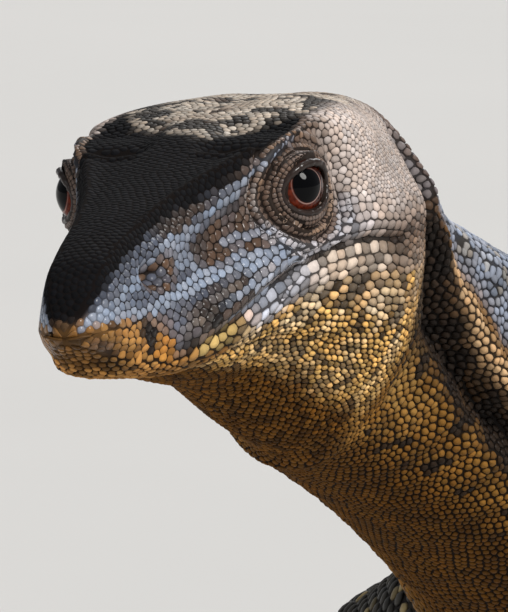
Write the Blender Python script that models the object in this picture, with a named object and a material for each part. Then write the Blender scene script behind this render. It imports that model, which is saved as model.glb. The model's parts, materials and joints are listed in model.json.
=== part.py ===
"""Water monitor lizard, life size, standing on all fours with its head raised.

Runs in Blender 4.5: blender --background --python part.py
The tables are in millimetres and MM turns them into metres. The animal faces -Y, its left
side is +X and it stands on the plane z = 0; at the end all of it moves so that the middle of
its bounding box lies over the origin. One surface, body_points, runs from the snout to the tip
of the tail; each body node is a stretch of it, closed by flat ends GAP apart.
"""

import math

import bmesh
import bpy
import numpy as np
from mathutils import Matrix, Vector

MM = 0.001
GAP = 0.3  # air between neighbouring solids

# Where the body is parted, measured along the spine from the snout
HEAD_END = 134.0
NECK_END = 292.0
TORSO_END = 742.0
TAIL_CUTS = (1000.0, 1290.0, 1560.0)

# Head: its axis is the level of the mouth
HEAD_AXIS_LENGTH = 125.0  # snout tip to the back of the ear
HEAD_PITCH = math.radians(3.0)  # snout held below level
HEAD_TURN = math.radians(14.0)  # and turned to the animal's left
HEAD_ROLL = math.radians(5.0)  # the left side held a little higher than the right
ROLL_FADE = (104.0, 150.0)  # where along the spine the roll is lost
HEAD_JOINT = (18.0, -178.0, 202.0)
SNOUT_ROUND = 11.0  # length over which the snout rounds off
CHIN_SETBACK = 5.0  # the lower jaw ends this far behind the upper
SNOUT_MIDDLE = 0.5  # height towards which the snout's front closes

# Eyes
EYE_RADIUS = 6.2
EYE_U = 68.5  # from the snout, along the head
EYE_Z = 12.5  # above the mouth's level
EYE_DEPTH = 2.5  # centre below the skin
EYE_OPENING = (5.3, 3.8)  # half length and half height between the lids
EYE_TURN = math.radians(22.0)  # the opening faces this far forward of straight out
LID_THICKNESS = 1.1

# Head profile by station: distance from the snout, then crown height, brow half width and
# height, half width at eye level, lip half width, mouth height, throat depth
HEAD_STATIONS = (
    (0.0, 8.0, 5.0, 6.5, 6.2, 6.3, -4.0, -6.8),
    (12.0, 12.6, 5.6, 10.4, 7.9, 8.1, -6.0, -8.4),
    (26.0, 15.8, 6.7, 13.8, 10.2, 12.0, -7.0, -10.6),
    (38.0, 17.6, 8.6, 16.6, 12.0, 15.4, -5.4, -12.8),
    (52.0, 19.8, 13.0, 19.2, 14.8, 18.2, -2.2, -17.0),
    (66.0, 22.3, 18.2, 21.4, 18.7, 20.8, 0.0, -21.0),
    (85.0, 23.2, 21.2, 20.5, 22.8, 24.6, 0.2, -29.6),
    (105.0, 21.8, 19.2, 17.6, 24.2, 26.6, -3.2, -39.8),
    (125.0, 18.4, 16.5, 14.8, 23.6, 26.2, -4.0, -47.0),
    (150.0, 12.0, 15.0, 9.0, 24.0, 28.0, -5.0, -52.0),
)
MOUTH_CORNER_U = 99.0
MOUTH_GROOVE = 1.3

# Spine behind the head, as (x, y, z)
SPINE = (
    (14.0, -150.0, 190.0),
    (11.0, -115.0, 169.0),
    (8.0, -80.0, 149.0),
    (4.0, -40.0, 132.0),
    (0.0, 10.0, 119.0),
    (0.0, 80.0, 111.0),
    (0.0, 160.0, 106.0),
    (0.0, 245.0, 100.0),
    (0.0, 330.0, 91.0),
    (0.0, 400.0, 79.0),
    (0.0, 480.0, 62.0),
    (2.0, 570.0, 45.0),
    (12.0, 660.0, 35.0),
    (36.0, 755.0, 30.0),
    (70.0, 850.0, 25.5),
    (100.0, 945.0, 21.5),
    (116.0, 1045.0, 17.5),
    (110.0, 1145.0, 13.5),
    (80.0, 1240.0, 9.5),
    (36.0, 1322.0, 6.0),
    (-18.0, 1392.0, 3.2),
)

# Girth by station: distance along the spine, half width, rise above and drop below the
# spine, and how far the upper part narrows to a keel
GIRTHS = (
    (100.0, 24.5, 20.0, 41.0, 0.0),
    (134.0, 21.8, 7.5, 43.5, 0.0),
    (160.0, 24.4, 10.0, 41.5, 0.0),
    (198.0, 28.5, 19.0, 36.5, 0.0),
    (238.0, 32.5, 26.5, 35.5, 0.0),
    (282.0, 42.0, 36.0, 42.0, 0.0),
    (335.0, 51.0, 42.0, 46.0, 0.0),
    (385.0, 57.0, 44.0, 48.0, 0.0),
    (430.0, 62.0, 46.0, 49.0, 0.0),
    (510.0, 69.0, 49.0, 51.0, 0.0),
    (590.0, 66.0, 47.0, 48.0, 0.0),
    (650.0, 55.0, 44.0, 43.0, 0.05),
    (700.0, 45.0, 41.0, 40.0, 0.1),
    (745.0, 37.0, 38.0, 36.0, 0.15),
    (830.0, 29.0, 35.0, 33.0, 0.3),
    (960.0, 21.0, 32.0, 30.0, 0.45),
    (1120.0, 14.5, 28.0, 25.5, 0.5),
    (1300.0, 10.0, 22.5, 18.5, 0.5),
    (1480.0, 7.0, 16.0, 12.0, 0.45),
    (1640.0, 4.4, 9.5, 7.0, 0.35),
    (1760.0, 2.6, 5.0, 4.0, 0.2),
    (1800.0, 1.5, 2.6, 2.4, 0.1),
)
BLEND_START = 114.0  # head profile gives way to the girths
BLEND_END = 148.0
THROAT_SPAN = (92.0, 116.0, 165.0, 192.0)  # the throat is evened out from the first to the last
THROAT_REACH = 22.0  # over this distance along the spine, each way

# Muscles: (distance along the spine, side angle from the top in degrees, reach along,
# reach around in degrees, height)
MUSCLES = (
    (330.0, 100.0, 46.0, 34.0, 7.0),
    (700.0, 95.0, 42.0, 36.0, 6.0),
    (800.0, 100.0, 60.0, 40.0, 2.5),
)

# Legs: root, joint and end of each, radii at those places, for the left side; the gait moves
# the end and the joint of one leg of each pair along Y
FORE_LEG = ((30.0, 2.0, 100.0), (94.0, 34.0, 74.0), (99.0, -8.0, 30.0))
FORE_RADII = (23.0, 15.5, 10.0)
HIND_LEG = ((26.0, 338.0, 82.0), (112.0, 300.0, 78.0), (121.0, 350.0, 28.0))
HIND_RADII = (27.0, 19.0, 11.0)
FORE_GAIT = {"left": -16.0, "right": 28.0}
HIND_GAIT = {"left": 18.0, "right": -14.0}

# Feet: sole length from wrist to the roots of the toes, its height there, how far the foot
# turns out, and the toes as (angle from the foot's line, outward positive, and length)
HAND = {"palm": 30.0, "turn": 12.0, "width": 13.5,
        "toes": ((-58.0, 21.0), (-27.0, 30.0), (0.0, 34.0), (27.0, 31.0), (60.0, 24.0))}
FOOT = {"palm": 52.0, "turn": 20.0, "width": 14.0,
        "toes": ((-34.0, 22.0), (-16.0, 33.0), (2.0, 42.0), (21.0, 48.0), (62.0, 30.0))}
SOLE_HEIGHT = 7.6  # middle of the sole above the floor at the heel
TOE_ROOT_HEIGHT = 6.0  # and where the toes leave it
TOE_OVERLAP = 7.0  # how far a toe reaches back into the sole
TOE_RADII = (5.4, 4.0)
TOE_CLEARANCE = (-0.5, 1.3, -0.6, 1.0, -0.5)  # underside above the floor, pads below it are cut flat
CLAW_LENGTH = 14.0
CLAW_RADIUS = 2.5
CLAW_LIFT = 0.8  # lowest point of a claw above the floor

HEAD_TRIANGLES = 4200
HEAD_GREY = (0.22, 0.17, 0.12)
NECK_TAN = (0.36, 0.26, 0.12)
BODY_GREY = (0.10, 0.095, 0.08)
LEG_DARK = (0.11, 0.10, 0.075)
TAIL_DARK = (0.11, 0.10, 0.08)
EYE_RED = (0.16, 0.04, 0.02)
CLAW_HORN = (0.06, 0.05, 0.04)


def smooth_track(xs, ys, x):
    """Smooth curve through the points (xs, ys), read at x."""
    xs, ys = np.asarray(xs, float), np.asarray(ys, float)
    slopes = np.gradient(ys, xs, axis=0)
    x = np.clip(x, xs[0], xs[-1])
    i = np.clip(np.searchsorted(xs, x) - 1, 0, len(xs) - 2)
    step = xs[i + 1] - xs[i]
    t = (x - xs[i]) / step
    if ys.ndim > 1:
        t, step = t[..., None], step[..., None]
    return (
        (1 + 2 * t) * (1 - t) ** 2 * ys[i]
        + t * (1 - t) ** 2 * step * slopes[i]
        + t * t * (3 - 2 * t) * ys[i + 1]
        + t * t * (t - 1) * step * slopes[i + 1]
    )


def column(table, k, at):
    """Column k of a station table, read at the distances at."""
    table = np.array(table)
    return smooth_track(table[:, 0], table[:, k], at)


def ease(x, low, high):
    """0 below low, 1 above high, smooth between."""
    t = np.clip((x - low) / (high - low), 0.0, 1.0)
    return t * t * (3 - 2 * t)


def bell(x, middle, reach):
    return np.exp(-(((x - middle) / reach) ** 2))


def unit(vectors):
    return vectors / np.linalg.norm(vectors, axis=-1, keepdims=True)


def chord_lengths(points):
    steps = np.linalg.norm(np.diff(points, axis=0), axis=1)
    return np.concatenate(([0.0], np.cumsum(steps)))


def build_spine():
    """Points close together along the spine, from the snout, and their distances along it."""
    level = math.cos(HEAD_PITCH)
    forward = np.array((
        level * math.sin(HEAD_TURN), -level * math.cos(HEAD_TURN), -math.sin(HEAD_PITCH)))
    on_head = [
        np.array(HEAD_JOINT) + forward * (HEAD_AXIS_LENGTH - u) for u in (0.0, 60.0, 100.0, 125.0)
    ]
    knots = np.array(on_head + [np.array(p) for p in SPINE])
    chords = chord_lengths(knots)
    points = smooth_track(chords, knots, np.linspace(0.0, chords[-1], 4000))
    return points, chord_lengths(points)


SPINE_POINTS, SPINE_LENGTHS = build_spine()
BODY_LENGTH = SPINE_LENGTHS[-1]


def spine_place(s):
    return np.stack([np.interp(s, SPINE_LENGTHS, SPINE_POINTS[:, k]) for k in range(3)], -1)


def spine_frame(s):
    """Place, left and up directions of the spine at distances s from the snout."""
    reach = 9.0
    low = np.clip(s - reach, 0.0, BODY_LENGTH)
    high = np.clip(s + reach, 0.0, BODY_LENGTH)
    along = unit(spine_place(high) - spine_place(low))
    side = unit(np.cross(along, np.array((0.0, 0.0, 1.0))))
    up = np.cross(side, along)
    roll = (HEAD_ROLL * (1.0 - ease(s, *ROLL_FADE)))[..., None]
    return (
        spine_place(s), side * np.cos(roll) + up * np.sin(roll),
        up * np.cos(roll) - side * np.sin(roll))


def head_section(u, v):
    """Half profile of the head: v runs from the crown, 0, to the throat, 1."""
    crown, brow_x, brow_z, eye_x, lip_x, mouth, throat = (
        column(HEAD_STATIONS, k, u) for k in range(1, 8)
    )
    zero = np.zeros_like(u)
    jaw = mouth - throat
    narrow = ease(u, 30.0, 75.0)
    # Places round the half profile, and how far round each one is
    shares = np.array((0.0, 0.12, 0.25, 0.37, 0.50, 0.58, 0.66, 0.80, 1.0))
    xs = np.stack((
        zero, brow_x * 0.62, brow_x, eye_x, lip_x,
        lip_x * 0.97, lip_x * (0.88 - 0.05 * narrow), lip_x * (0.58 - 0.12 * narrow), zero), -1)
    zs = np.stack((
        crown, crown - 0.4, brow_z, (brow_z + mouth) * 0.55, mouth + 4.5,
        mouth, mouth - 0.42 * jaw, mouth - (0.85 - 0.04 * narrow) * jaw, throat), -1)
    # Mirrored ends keep the curve level where it crosses the middle
    shares = np.concatenate(((-0.12,), shares, (1.2,)))
    xs = np.concatenate((-xs[:, 1:2], xs, -xs[:, -2:-1]), -1)
    zs = np.concatenate((zs[:, 1:2], zs, zs[:, -2:-1]), -1)
    x, z = (np.array([smooth_track(shares, row, v) for row in track]) for track in (xs, zs))
    # The snout closes to a rounded front
    depth = np.clip(u[:, None] / SNOUT_ROUND, 0.0, 1.0)
    close = np.sqrt(1.0 - (1.0 - depth) ** 2)
    return x * close, SNOUT_MIDDLE + (z - SNOUT_MIDDLE) * close


def girth_section(s, v):
    """Half profile of the neck, trunk and tail: v runs from the back, 0, to the belly, 1."""
    wide, rise, drop, keel = (column(GIRTHS, k, s)[:, None] for k in range(1, 5))
    turn = v[None, :] * math.pi
    lean = np.cos(turn)
    x = wide * np.sin(turn) ** np.where(lean > 0, 1.0, 0.86)
    x = x * (1.0 - keel * np.clip(lean, 0.0, 1.0) ** 1.2)
    z = np.where(lean > 0, rise, drop) * lean
    for at, angle, reach, spread, height in MUSCLES:
        swell = height * bell(s[:, None], at, reach) * bell(np.degrees(turn), angle, spread)
        x = x + swell * np.sin(turn)
    return x, z


def head_relief(u, x, z):
    """Height added to the head's surface: lids, nostril, jaw muscles, ear and mouth line."""
    mouth = column(HEAD_STATIONS, 6, u)
    side = ease(x, 3.0, 7.0)
    eye = np.hypot((u - EYE_U) / 1.15, z - EYE_Z)
    lift = -1.3 * bell(eye, 10.6, 1.8) * ease(z, 3.0, 8.0)
    lift += 1.2 * bell(u, 22.0, 7.0) * bell(z, 7.0, 5.0)
    lift -= 3.0 * bell(np.hypot((u - 21.0) / 1.3, z - 7.0), 0.0, 2.3)
    lift += 1.6 * bell(u, 97.0, 14.0) * bell(z, 14.0, 10.0)
    lift += 1.6 * bell(u, 104.0, 14.0) * bell(z, -10.0, 12.0)
    ear = np.hypot((u - 117.0 - 0.15 * (z - 4.0)) / 4.2, (z - 4.0) / 8.5)
    lift -= 4.2 * (1.0 - ease(ear, 0.6, 1.25))
    lift += 0.8 * bell(ear, 1.5, 0.35) * ease(u, 117.0, 123.0)
    closed = 1.0 - ease(u, MOUTH_CORNER_U - 2.0, MOUTH_CORNER_U + 3.0)
    return lift * side - MOUTH_GROOVE * bell(z, mouth, 1.3) * closed


def eye_centre(flip):
    """Centre of the left eyeball, or of the right with flip -1."""
    row = np.array((EYE_U,))
    x, z = (track[0] for track in head_section(row, np.linspace(0.0, 0.6, 200)))
    surface_x = np.interp(-EYE_Z, -z, x)
    centre, side, up = (vectors[0] for vectors in spine_frame(row))
    return centre + side * (surface_x - EYE_DEPTH) * flip + up * EYE_Z


def lid_share(away):
    """Angle between directions from the eye's centre and its opening's axis, 1 at the lids' edge."""
    _, side, up = (vectors[0] for vectors in spine_frame(np.array((EYE_U,))))
    back = np.cross(up, side)
    out = side * math.cos(EYE_TURN) - back * math.sin(EYE_TURN)
    back = back * math.cos(EYE_TURN) + side * math.sin(EYE_TURN)
    away = away / np.maximum(np.linalg.norm(away, axis=-1, keepdims=True), 1e-6)
    angle = np.arccos(np.clip(away @ out, -1.0, 1.0))
    wide = np.hypot(away @ back / EYE_OPENING[0], away @ up / EYE_OPENING[1]) * (EYE_RADIUS + GAP)
    edge = np.arcsin(np.clip(np.sin(angle) / np.maximum(wide, 1e-6), 0.0, 0.999))
    return angle / np.maximum(edge, 0.05)


def close_lids(points, s):
    """Draws the head's surface over the eyeball as lids, and inside it between the lids."""
    rows = np.abs(s - EYE_U) < 2.5 * EYE_RADIUS
    if not rows.any():
        return points
    centre = eye_centre(1.0)
    away = points[rows] - centre
    distance = np.linalg.norm(away, axis=-1)
    ring = lid_share(away)
    lid = EYE_RADIUS + GAP + LID_THICKNESS * ease(ring, 1.0, 1.3)
    over = 1.0 - ease(ring, 1.5, 2.3)
    reach = np.where(ring > 1.0, np.maximum(distance, lid), np.minimum(distance, EYE_RADIUS - 0.6))
    stretch = 1.0 + over * (reach / np.maximum(distance, 0.1) - 1.0)
    points[rows] = centre + away * stretch[..., None]
    return points


def plain_points(s, v):
    """The body's left half before any relief, with its sections' widths and heights."""
    head_x, head_z = head_section(np.minimum(s, HEAD_STATIONS[-1][0]), v)
    trunk_x, trunk_z = girth_section(s, v)
    share = ease(s, BLEND_START, BLEND_END)[:, None]
    x = head_x * (1 - share) + trunk_x * share
    z = head_z * (1 - share) + trunk_z * share
    centre, side, up = (vectors[:, None] for vectors in spine_frame(s))
    return centre + side * x[..., None] + up * z[..., None], x, z


def even_throat(points, s, v):
    """Rows crowd inside the neck's bend, so each there becomes a mean of its neighbours."""
    low, full, begin, end = THROAT_SPAN
    share = ease(s, low, full) * (1.0 - ease(s, begin, end))
    rows = np.flatnonzero(share > 0.0)
    if not len(rows):
        return points
    offsets = np.linspace(-2.0, 2.0, 9)
    weights = np.exp(-offsets ** 2) / np.exp(-offsets ** 2).sum()
    mean = sum(
        weight * plain_points(s[rows] + offset * THROAT_REACH / 2.0, v)[0]
        for weight, offset in zip(weights, offsets)
    )
    # The middle line stays in the spine's own plane
    centre, side, _ = spine_frame(s[rows])
    off = ((mean[:, -1] - centre) * side).sum(-1, keepdims=True) * side
    amount = (share[rows][:, None] * ease(v, 0.5, 0.8))[..., None]
    points = points.copy()
    points[rows] = points[rows] * (1 - amount) + (mean - off[:, None]) * amount
    return points


def body_points(s, v, grow=0.0):
    """Left half of the body's surface as a grid of rows s by columns v, in millimetres."""
    points, x, z = plain_points(s, v)
    points = even_throat(points, s, v)
    share = ease(s, BLEND_START, BLEND_END)[:, None]
    _, side, up = (vectors[:, None] for vectors in spine_frame(s))
    setback = CHIN_SETBACK * ease(-z, -1.0, 5.0) * (1.0 - ease(s, 6.0, 32.0))[:, None]
    points = points + np.cross(up, side) * setback[..., None]
    normal = np.cross(np.gradient(points, axis=1), np.gradient(points, axis=0))
    # On the middle line the surface only moves within the spine's own plane
    normal[:, (0, -1)] -= (normal[:, (0, -1)] * side).sum(-1, keepdims=True) * side
    lift = head_relief(s[:, None] + 0.0 * x, x, z) * (1 - share) + grow
    points = close_lids(points + unit(normal + 1e-12) * lift[..., None], s)
    points[..., 2] = np.maximum(points[..., 2], 0.0)
    return points


def collection(name):
    made = bpy.data.collections.new(name)
    bpy.context.scene.collection.children.link(made)
    return made


def material(name, colour, roughness):
    made = bpy.data.materials.new(name)
    made.use_nodes = True
    shader = made.node_tree.nodes["Principled BSDF"]
    shader.inputs["Base Color"].default_value = (*colour, 1.0)
    shader.inputs["Roughness"].default_value = roughness
    shader.inputs["Metallic"].default_value = 0.0
    return made


def loft(name, rings, group, finish=None):
    """A closed object over rings of equal count, each end closed by a flat fan."""
    count = len(rings[0])
    vertices = [point for ring in rings for point in ring]
    faces = []
    for i in range(len(rings) - 1):
        for j in range(count):
            k = (j + 1) % count
            faces.append((i * count + j, i * count + k, (i + 1) * count + k, (i + 1) * count + j))
    for last in (0, len(rings) - 1):
        vertices.append(np.mean(rings[last], axis=0))
        start = last * count
        for j in range(count):
            faces.append((start + j, start + (j + 1) % count, len(vertices) - 1))
    mesh = bpy.data.meshes.new(name)
    mesh.from_pydata([Vector(p) * MM for p in vertices], [], faces)
    work = bmesh.new()
    work.from_mesh(mesh)
    bmesh.ops.recalc_face_normals(work, faces=work.faces)
    work.to_mesh(mesh)
    work.free()
    made = bpy.data.objects.new(name, mesh)
    if finish:
        mesh.materials.append(finish)
    mesh.shade_smooth()
    group.objects.link(made)
    return made


def body_stretch(name, start, end, row_step, columns, group, finish=None, grow=0.0):
    """One node of the body: both halves of the surface from start to end."""
    rows = np.linspace(start, end, max(3, int(round((end - start) / row_step)) + 1))
    if start < SNOUT_ROUND:
        # Rows crowd towards the snout's rounded front
        rows = np.sort(np.concatenate((
            SNOUT_ROUND * (1 - np.cos(np.linspace(0.08, 1.5, 20))), rows[rows > SNOUT_ROUND])))
    half = body_points(rows, np.linspace(0.0, 1.0, columns + 1), grow)
    place, side, _ = spine_frame(rows)
    rings = []
    for points, origin, left in zip(half, place, side):
        turned = points - 2 * ((points - origin) @ left)[:, None] * left
        rings.append(np.concatenate((points, turned[-2:0:-1])))
    return loft(name, rings, group, finish)


def tube_rings(path, radii, sides, flatten=None):
    """Rings round a path in millimetres; flatten scales their height."""
    along = unit(np.gradient(path, axis=0))
    across = unit(np.cross(along, np.array((0.0, 0.0, 1.0))) + 1e-9)
    upward = np.cross(across, along)
    angles = np.arange(sides) * 2 * math.pi / sides
    flatten = np.ones(len(path)) if flatten is None else flatten
    return [
        p + r * (np.outer(np.cos(angles), a) + f * np.outer(np.sin(angles), b))
        for p, r, f, a, b in zip(path, radii, flatten, across, upward)
    ]


def limb_path(points, radii, steps, bend):
    """A path through three points, rounded at the middle one, with its radii."""
    points = np.array(points)
    lengths = chord_lengths(points)
    t = np.linspace(0.0, lengths[-1], steps * 8)
    line = np.stack([np.interp(t, lengths, points[:, k]) for k in range(3)], -1)
    window = max(1, int(bend / (t[1] - t[0])))
    padded = np.concatenate((
        line[0] - (line[1] - line[0]) * np.arange(window, 0, -1)[:, None], line,
        line[-1] + (line[-1] - line[-2]) * np.arange(1, window + 1)[:, None]))
    weights = np.hanning(2 * window + 3)[1:-1]
    weights /= weights.sum()
    soft = np.stack([np.convolve(padded[:, k], weights, "valid") for k in range(3)], -1)
    pick = np.linspace(0, len(soft) - 1, steps).astype(int)
    return soft[pick], smooth_track(lengths, radii, t[pick])


def apply_boolean(target, operand, operation, solver="EXACT"):
    """Cuts or joins target with an object or collection, and makes the result its mesh."""
    change = target.modifiers.new("change", "BOOLEAN")
    change.operation = operation
    change.solver = solver
    if isinstance(operand, bpy.types.Collection):
        change.operand_type = "COLLECTION"
        change.collection = operand
    else:
        change.object = operand
    bpy.context.view_layer.update()
    graph = bpy.context.evaluated_depsgraph_get()
    mesh = bpy.data.meshes.new_from_object(target.evaluated_get(graph))
    target.modifiers.clear()
    target.data = mesh


def remove(things):
    for thing in list(things):
        bpy.data.objects.remove(thing)


def reduce_faces(target, triangles):
    """Fewer faces where the surface is plain, kept where it bends."""
    thin = target.modifiers.new("thin", "DECIMATE")
    thin.ratio = triangles / sum(len(p.vertices) - 2 for p in target.data.polygons)
    bpy.context.view_layer.update()
    graph = bpy.context.evaluated_depsgraph_get()
    mesh = bpy.data.meshes.new_from_object(target.evaluated_get(graph))
    target.modifiers.clear()
    target.data = mesh


def ball(name, centre, radius, group, finish=None, segments=20, rings=12):
    bpy.ops.mesh.primitive_uv_sphere_add(
        segments=segments, ring_count=rings, radius=radius * MM,
        location=Vector(centre) * MM, rotation=(0.0, math.pi / 2, 0.0))
    made = bpy.context.object
    made.name = name
    made.data.name = name
    for owner in list(made.users_collection):
        owner.objects.unlink(made)
    group.objects.link(made)
    if finish:
        made.data.materials.append(finish)
    made.data.shade_smooth()
    return made


def build_head(group, cutters, skin, eye_finish):
    head = body_stretch("head", 0.0, HEAD_END, 1.2, 84, group, skin)
    reduce_faces(head, HEAD_TRIANGLES)
    for name, flip in (("left", 1.0), ("right", -1.0)):
        centre = eye_centre(flip)
        socket = ball("socket_" + name, centre, EYE_RADIUS + GAP, cutters, segments=16, rings=10)
        apply_boolean(head, socket, "DIFFERENCE")
        remove([socket])
        ball("eye_" + name, centre, EYE_RADIUS, group, eye_finish, segments=16, rings=10)


def build_trunk(group, neck, body, tail):
    body_stretch("neck", HEAD_END + GAP, NECK_END, 11.0, 15, group, neck)
    body_stretch("torso", NECK_END + GAP, TORSO_END, 16.0, 15, group, body)
    names = ("tail_base", "tail_middle", "tail_end", "tail_tip")
    starts = (TORSO_END,) + TAIL_CUTS
    ends = TAIL_CUTS + (BODY_LENGTH - 1.0,)
    for name, start, end, columns in zip(names, starts, ends, (9, 8, 7, 6)):
        body_stretch(name, start + GAP, end, 22.0, columns, group, tail)


def foot_pieces(end, before, form, flip, group):
    """The sole, ankle and toes of one foot, and each toe's tip with its direction."""
    turn = math.radians(form["turn"]) * flip
    forward = np.array((math.sin(turn), -math.cos(turn), 0.0))
    into = unit(end - before)
    wrist = end + into * GAP
    heel = wrist + into * (wrist[2] - SOLE_HEIGHT) / -into[2]
    ankle = np.array((wrist, wrist * 0.5 + heel * 0.5, heel))
    sizes = np.array((form["wrist"], form["wrist"] * 0.96, form["wrist"] * 0.8))
    sole_end = np.array((*(heel + forward * form["palm"])[:2], TOE_ROOT_HEIGHT))
    share = np.array((-0.13, -0.06, 0.25, 0.6, 1.0))
    path = heel + share[:, None] * (sole_end - heel)
    path[:, 2] = np.interp(share, (0.0, 1.0), (SOLE_HEIGHT, TOE_ROOT_HEIGHT))
    radii = np.interp(share, (-0.13, -0.06, 0.25, 1.0), (6.0, 9.0, 10.5, form["width"]))
    loft("sole", tube_rings(path, radii, 12, (SOLE_HEIGHT + 0.9) / radii), group)
    loft("ankle", tube_rings(ankle, sizes, 12), group)
    tips = []
    for angle, length in form["toes"]:
        spread = turn + math.radians(angle) * flip
        line = np.array((math.sin(spread), -math.cos(spread), 0.0))
        side = np.array((math.cos(turn), math.sin(turn), 0.0)) * flip
        aside = form["width"] * 0.72 * math.sin(math.radians(angle))
        root = sole_end - forward * TOE_OVERLAP + side * aside
        reach = np.array((0.0, 0.28, 0.52, 0.78, 1.0))
        toe = root + np.outer(reach * (length + TOE_OVERLAP), line)
        radii = np.interp(reach, (0.0, 1.0), TOE_RADII) * (1.0, 0.92, 1.04, 0.9, 0.8)
        toe[:, 2] = radii + TOE_CLEARANCE
        rings = tube_rings(toe, radii, 8)
        rings[-1] = rings[-1] - np.outer((rings[-1] - toe[-1]) @ line, line)
        loft("toe", rings, group)
        tips.append((toe[-1], line))
    return tips


def claw(name, tip, line, group, finish):
    """A curved, tapering claw that leaves the flat end of a toe."""
    t = np.array((0.0, 0.3, 0.6, 0.85, 1.0))
    start = tip + line * GAP
    path = start + np.outer(t * CLAW_LENGTH, line)
    path[:, 2] += CLAW_LENGTH * (0.34 * np.sin(t * math.pi * 0.8) - 0.12 * t * t)
    radii = CLAW_RADIUS * (1.0 - t) ** 0.7 + 0.3
    path[:, 2] = np.maximum(path[:, 2], radii + CLAW_LIFT)
    rings = tube_rings(path, radii, 6, np.full(len(t), 1.25))
    rings[0] = rings[0] - ((rings[0] - start) @ line)[:, None] * line
    loft(name, rings, group, finish)


def build_leg(label, points, radii, form, flip, body_cutter, group, pieces, leg_finish, claw_finish):
    """A leg, its foot and five claws."""
    mirror = np.array((flip, 1.0, 1.0))
    points = np.array(points) * mirror
    path, sizes = limb_path(points, radii, 11, 16.0)
    leg = loft(label + "_leg", tube_rings(path, sizes, 14), group, leg_finish)
    apply_boolean(leg, body_cutter, "DIFFERENCE")
    keep_largest(leg)
    tips = foot_pieces(path[-1], path[-2], dict(form, wrist=radii[-1]), flip, pieces)
    sole, *toes = list(pieces.objects)
    foot = sole
    group.objects.link(foot)
    pieces.objects.unlink(foot)
    foot.name = label + "_foot"
    foot.data.materials.append(leg_finish)
    apply_boolean(foot, pieces, "UNION")
    remove(toes)
    bpy.ops.mesh.primitive_cube_add(size=1.0, location=(0.0, 0.0, -0.5), scale=(4.0, 4.0, 1.0))
    floor = bpy.context.object
    apply_boolean(foot, floor, "DIFFERENCE")
    remove([floor])
    keep_largest(foot)
    for number, (tip, line) in enumerate(tips, 1):
        claw(f"{label}_claw_{number}", tip, line, group, claw_finish)


def keep_largest(target):
    """Leaves only the largest closed surface of a mesh."""
    work = bmesh.new()
    work.from_mesh(target.data)
    unseen = set(work.verts)
    shells = []
    while unseen:
        shell, edge = set(), [unseen.pop()]
        while edge:
            vertex = edge.pop()
            shell.add(vertex)
            near = {e.other_vert(vertex) for e in vertex.link_edges} & unseen
            unseen -= near
            edge += near
        shells.append(shell)
    shells.sort(key=len)
    for shell in shells[:-1]:
        bmesh.ops.delete(work, geom=list(shell), context="VERTS")
    work.to_mesh(target.data)
    work.free()


def centre_over_origin(group):
    """Moves every node so that the bounding box's middle lies over the origin."""
    corners = np.array([obj.matrix_world @ v.co for obj in group.objects for v in obj.data.vertices])
    middle = (corners.min(0) + corners.max(0)) / 2
    for obj in group.objects:
        obj.data.transform(Matrix.Translation((-middle[0], -middle[1], 0.0)) @ obj.matrix_world)
        obj.matrix_world = Matrix.Identity(4)


def main():
    for old in list(bpy.data.objects):
        bpy.data.objects.remove(old)
    group = collection("water_monitor")
    pieces = collection("pieces")
    cutters = collection("cutters")
    pieces.hide_render = cutters.hide_render = True
    face = material("head_skin", HEAD_GREY, 0.5)
    neck = material("neck_skin", NECK_TAN, 0.55)
    back = material("body_skin", BODY_GREY, 0.55)
    limb = material("leg_skin", LEG_DARK, 0.55)
    tail = material("tail_skin", TAIL_DARK, 0.55)
    eye = material("eye", EYE_RED, 0.1)
    horn = material("claw_horn", CLAW_HORN, 0.35)
    build_head(group, cutters, face, eye)
    build_trunk(group, neck, back, tail)
    body_cutter = body_stretch("body_cutter", NECK_END, TORSO_END, 16.0, 15, cutters, grow=GAP)
    legs = (
        ("fore", FORE_LEG, FORE_RADII, HAND, FORE_GAIT),
        ("hind", HIND_LEG, HIND_RADII, FOOT, HIND_GAIT),
    )
    for kind, points, radii, form, gait in legs:
        for side, flip in (("left", 1.0), ("right", -1.0)):
            root, joint, end = (np.array(p) for p in points)
            shift = np.array((0.0, gait[side], 0.0))
            build_leg(
                f"{kind}_{side}", (root, joint + shift * 0.4, end + shift), radii, form, flip,
                body_cutter, group, pieces, limb, horn)
    remove([body_cutter])
    centre_over_origin(group)


main()
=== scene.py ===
import json
import math

import bmesh
import bpy
import numpy as np
from mathutils import Matrix, Vector
from mathutils.bvhtree import BVHTree
from mathutils.kdtree import KDTree

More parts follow.
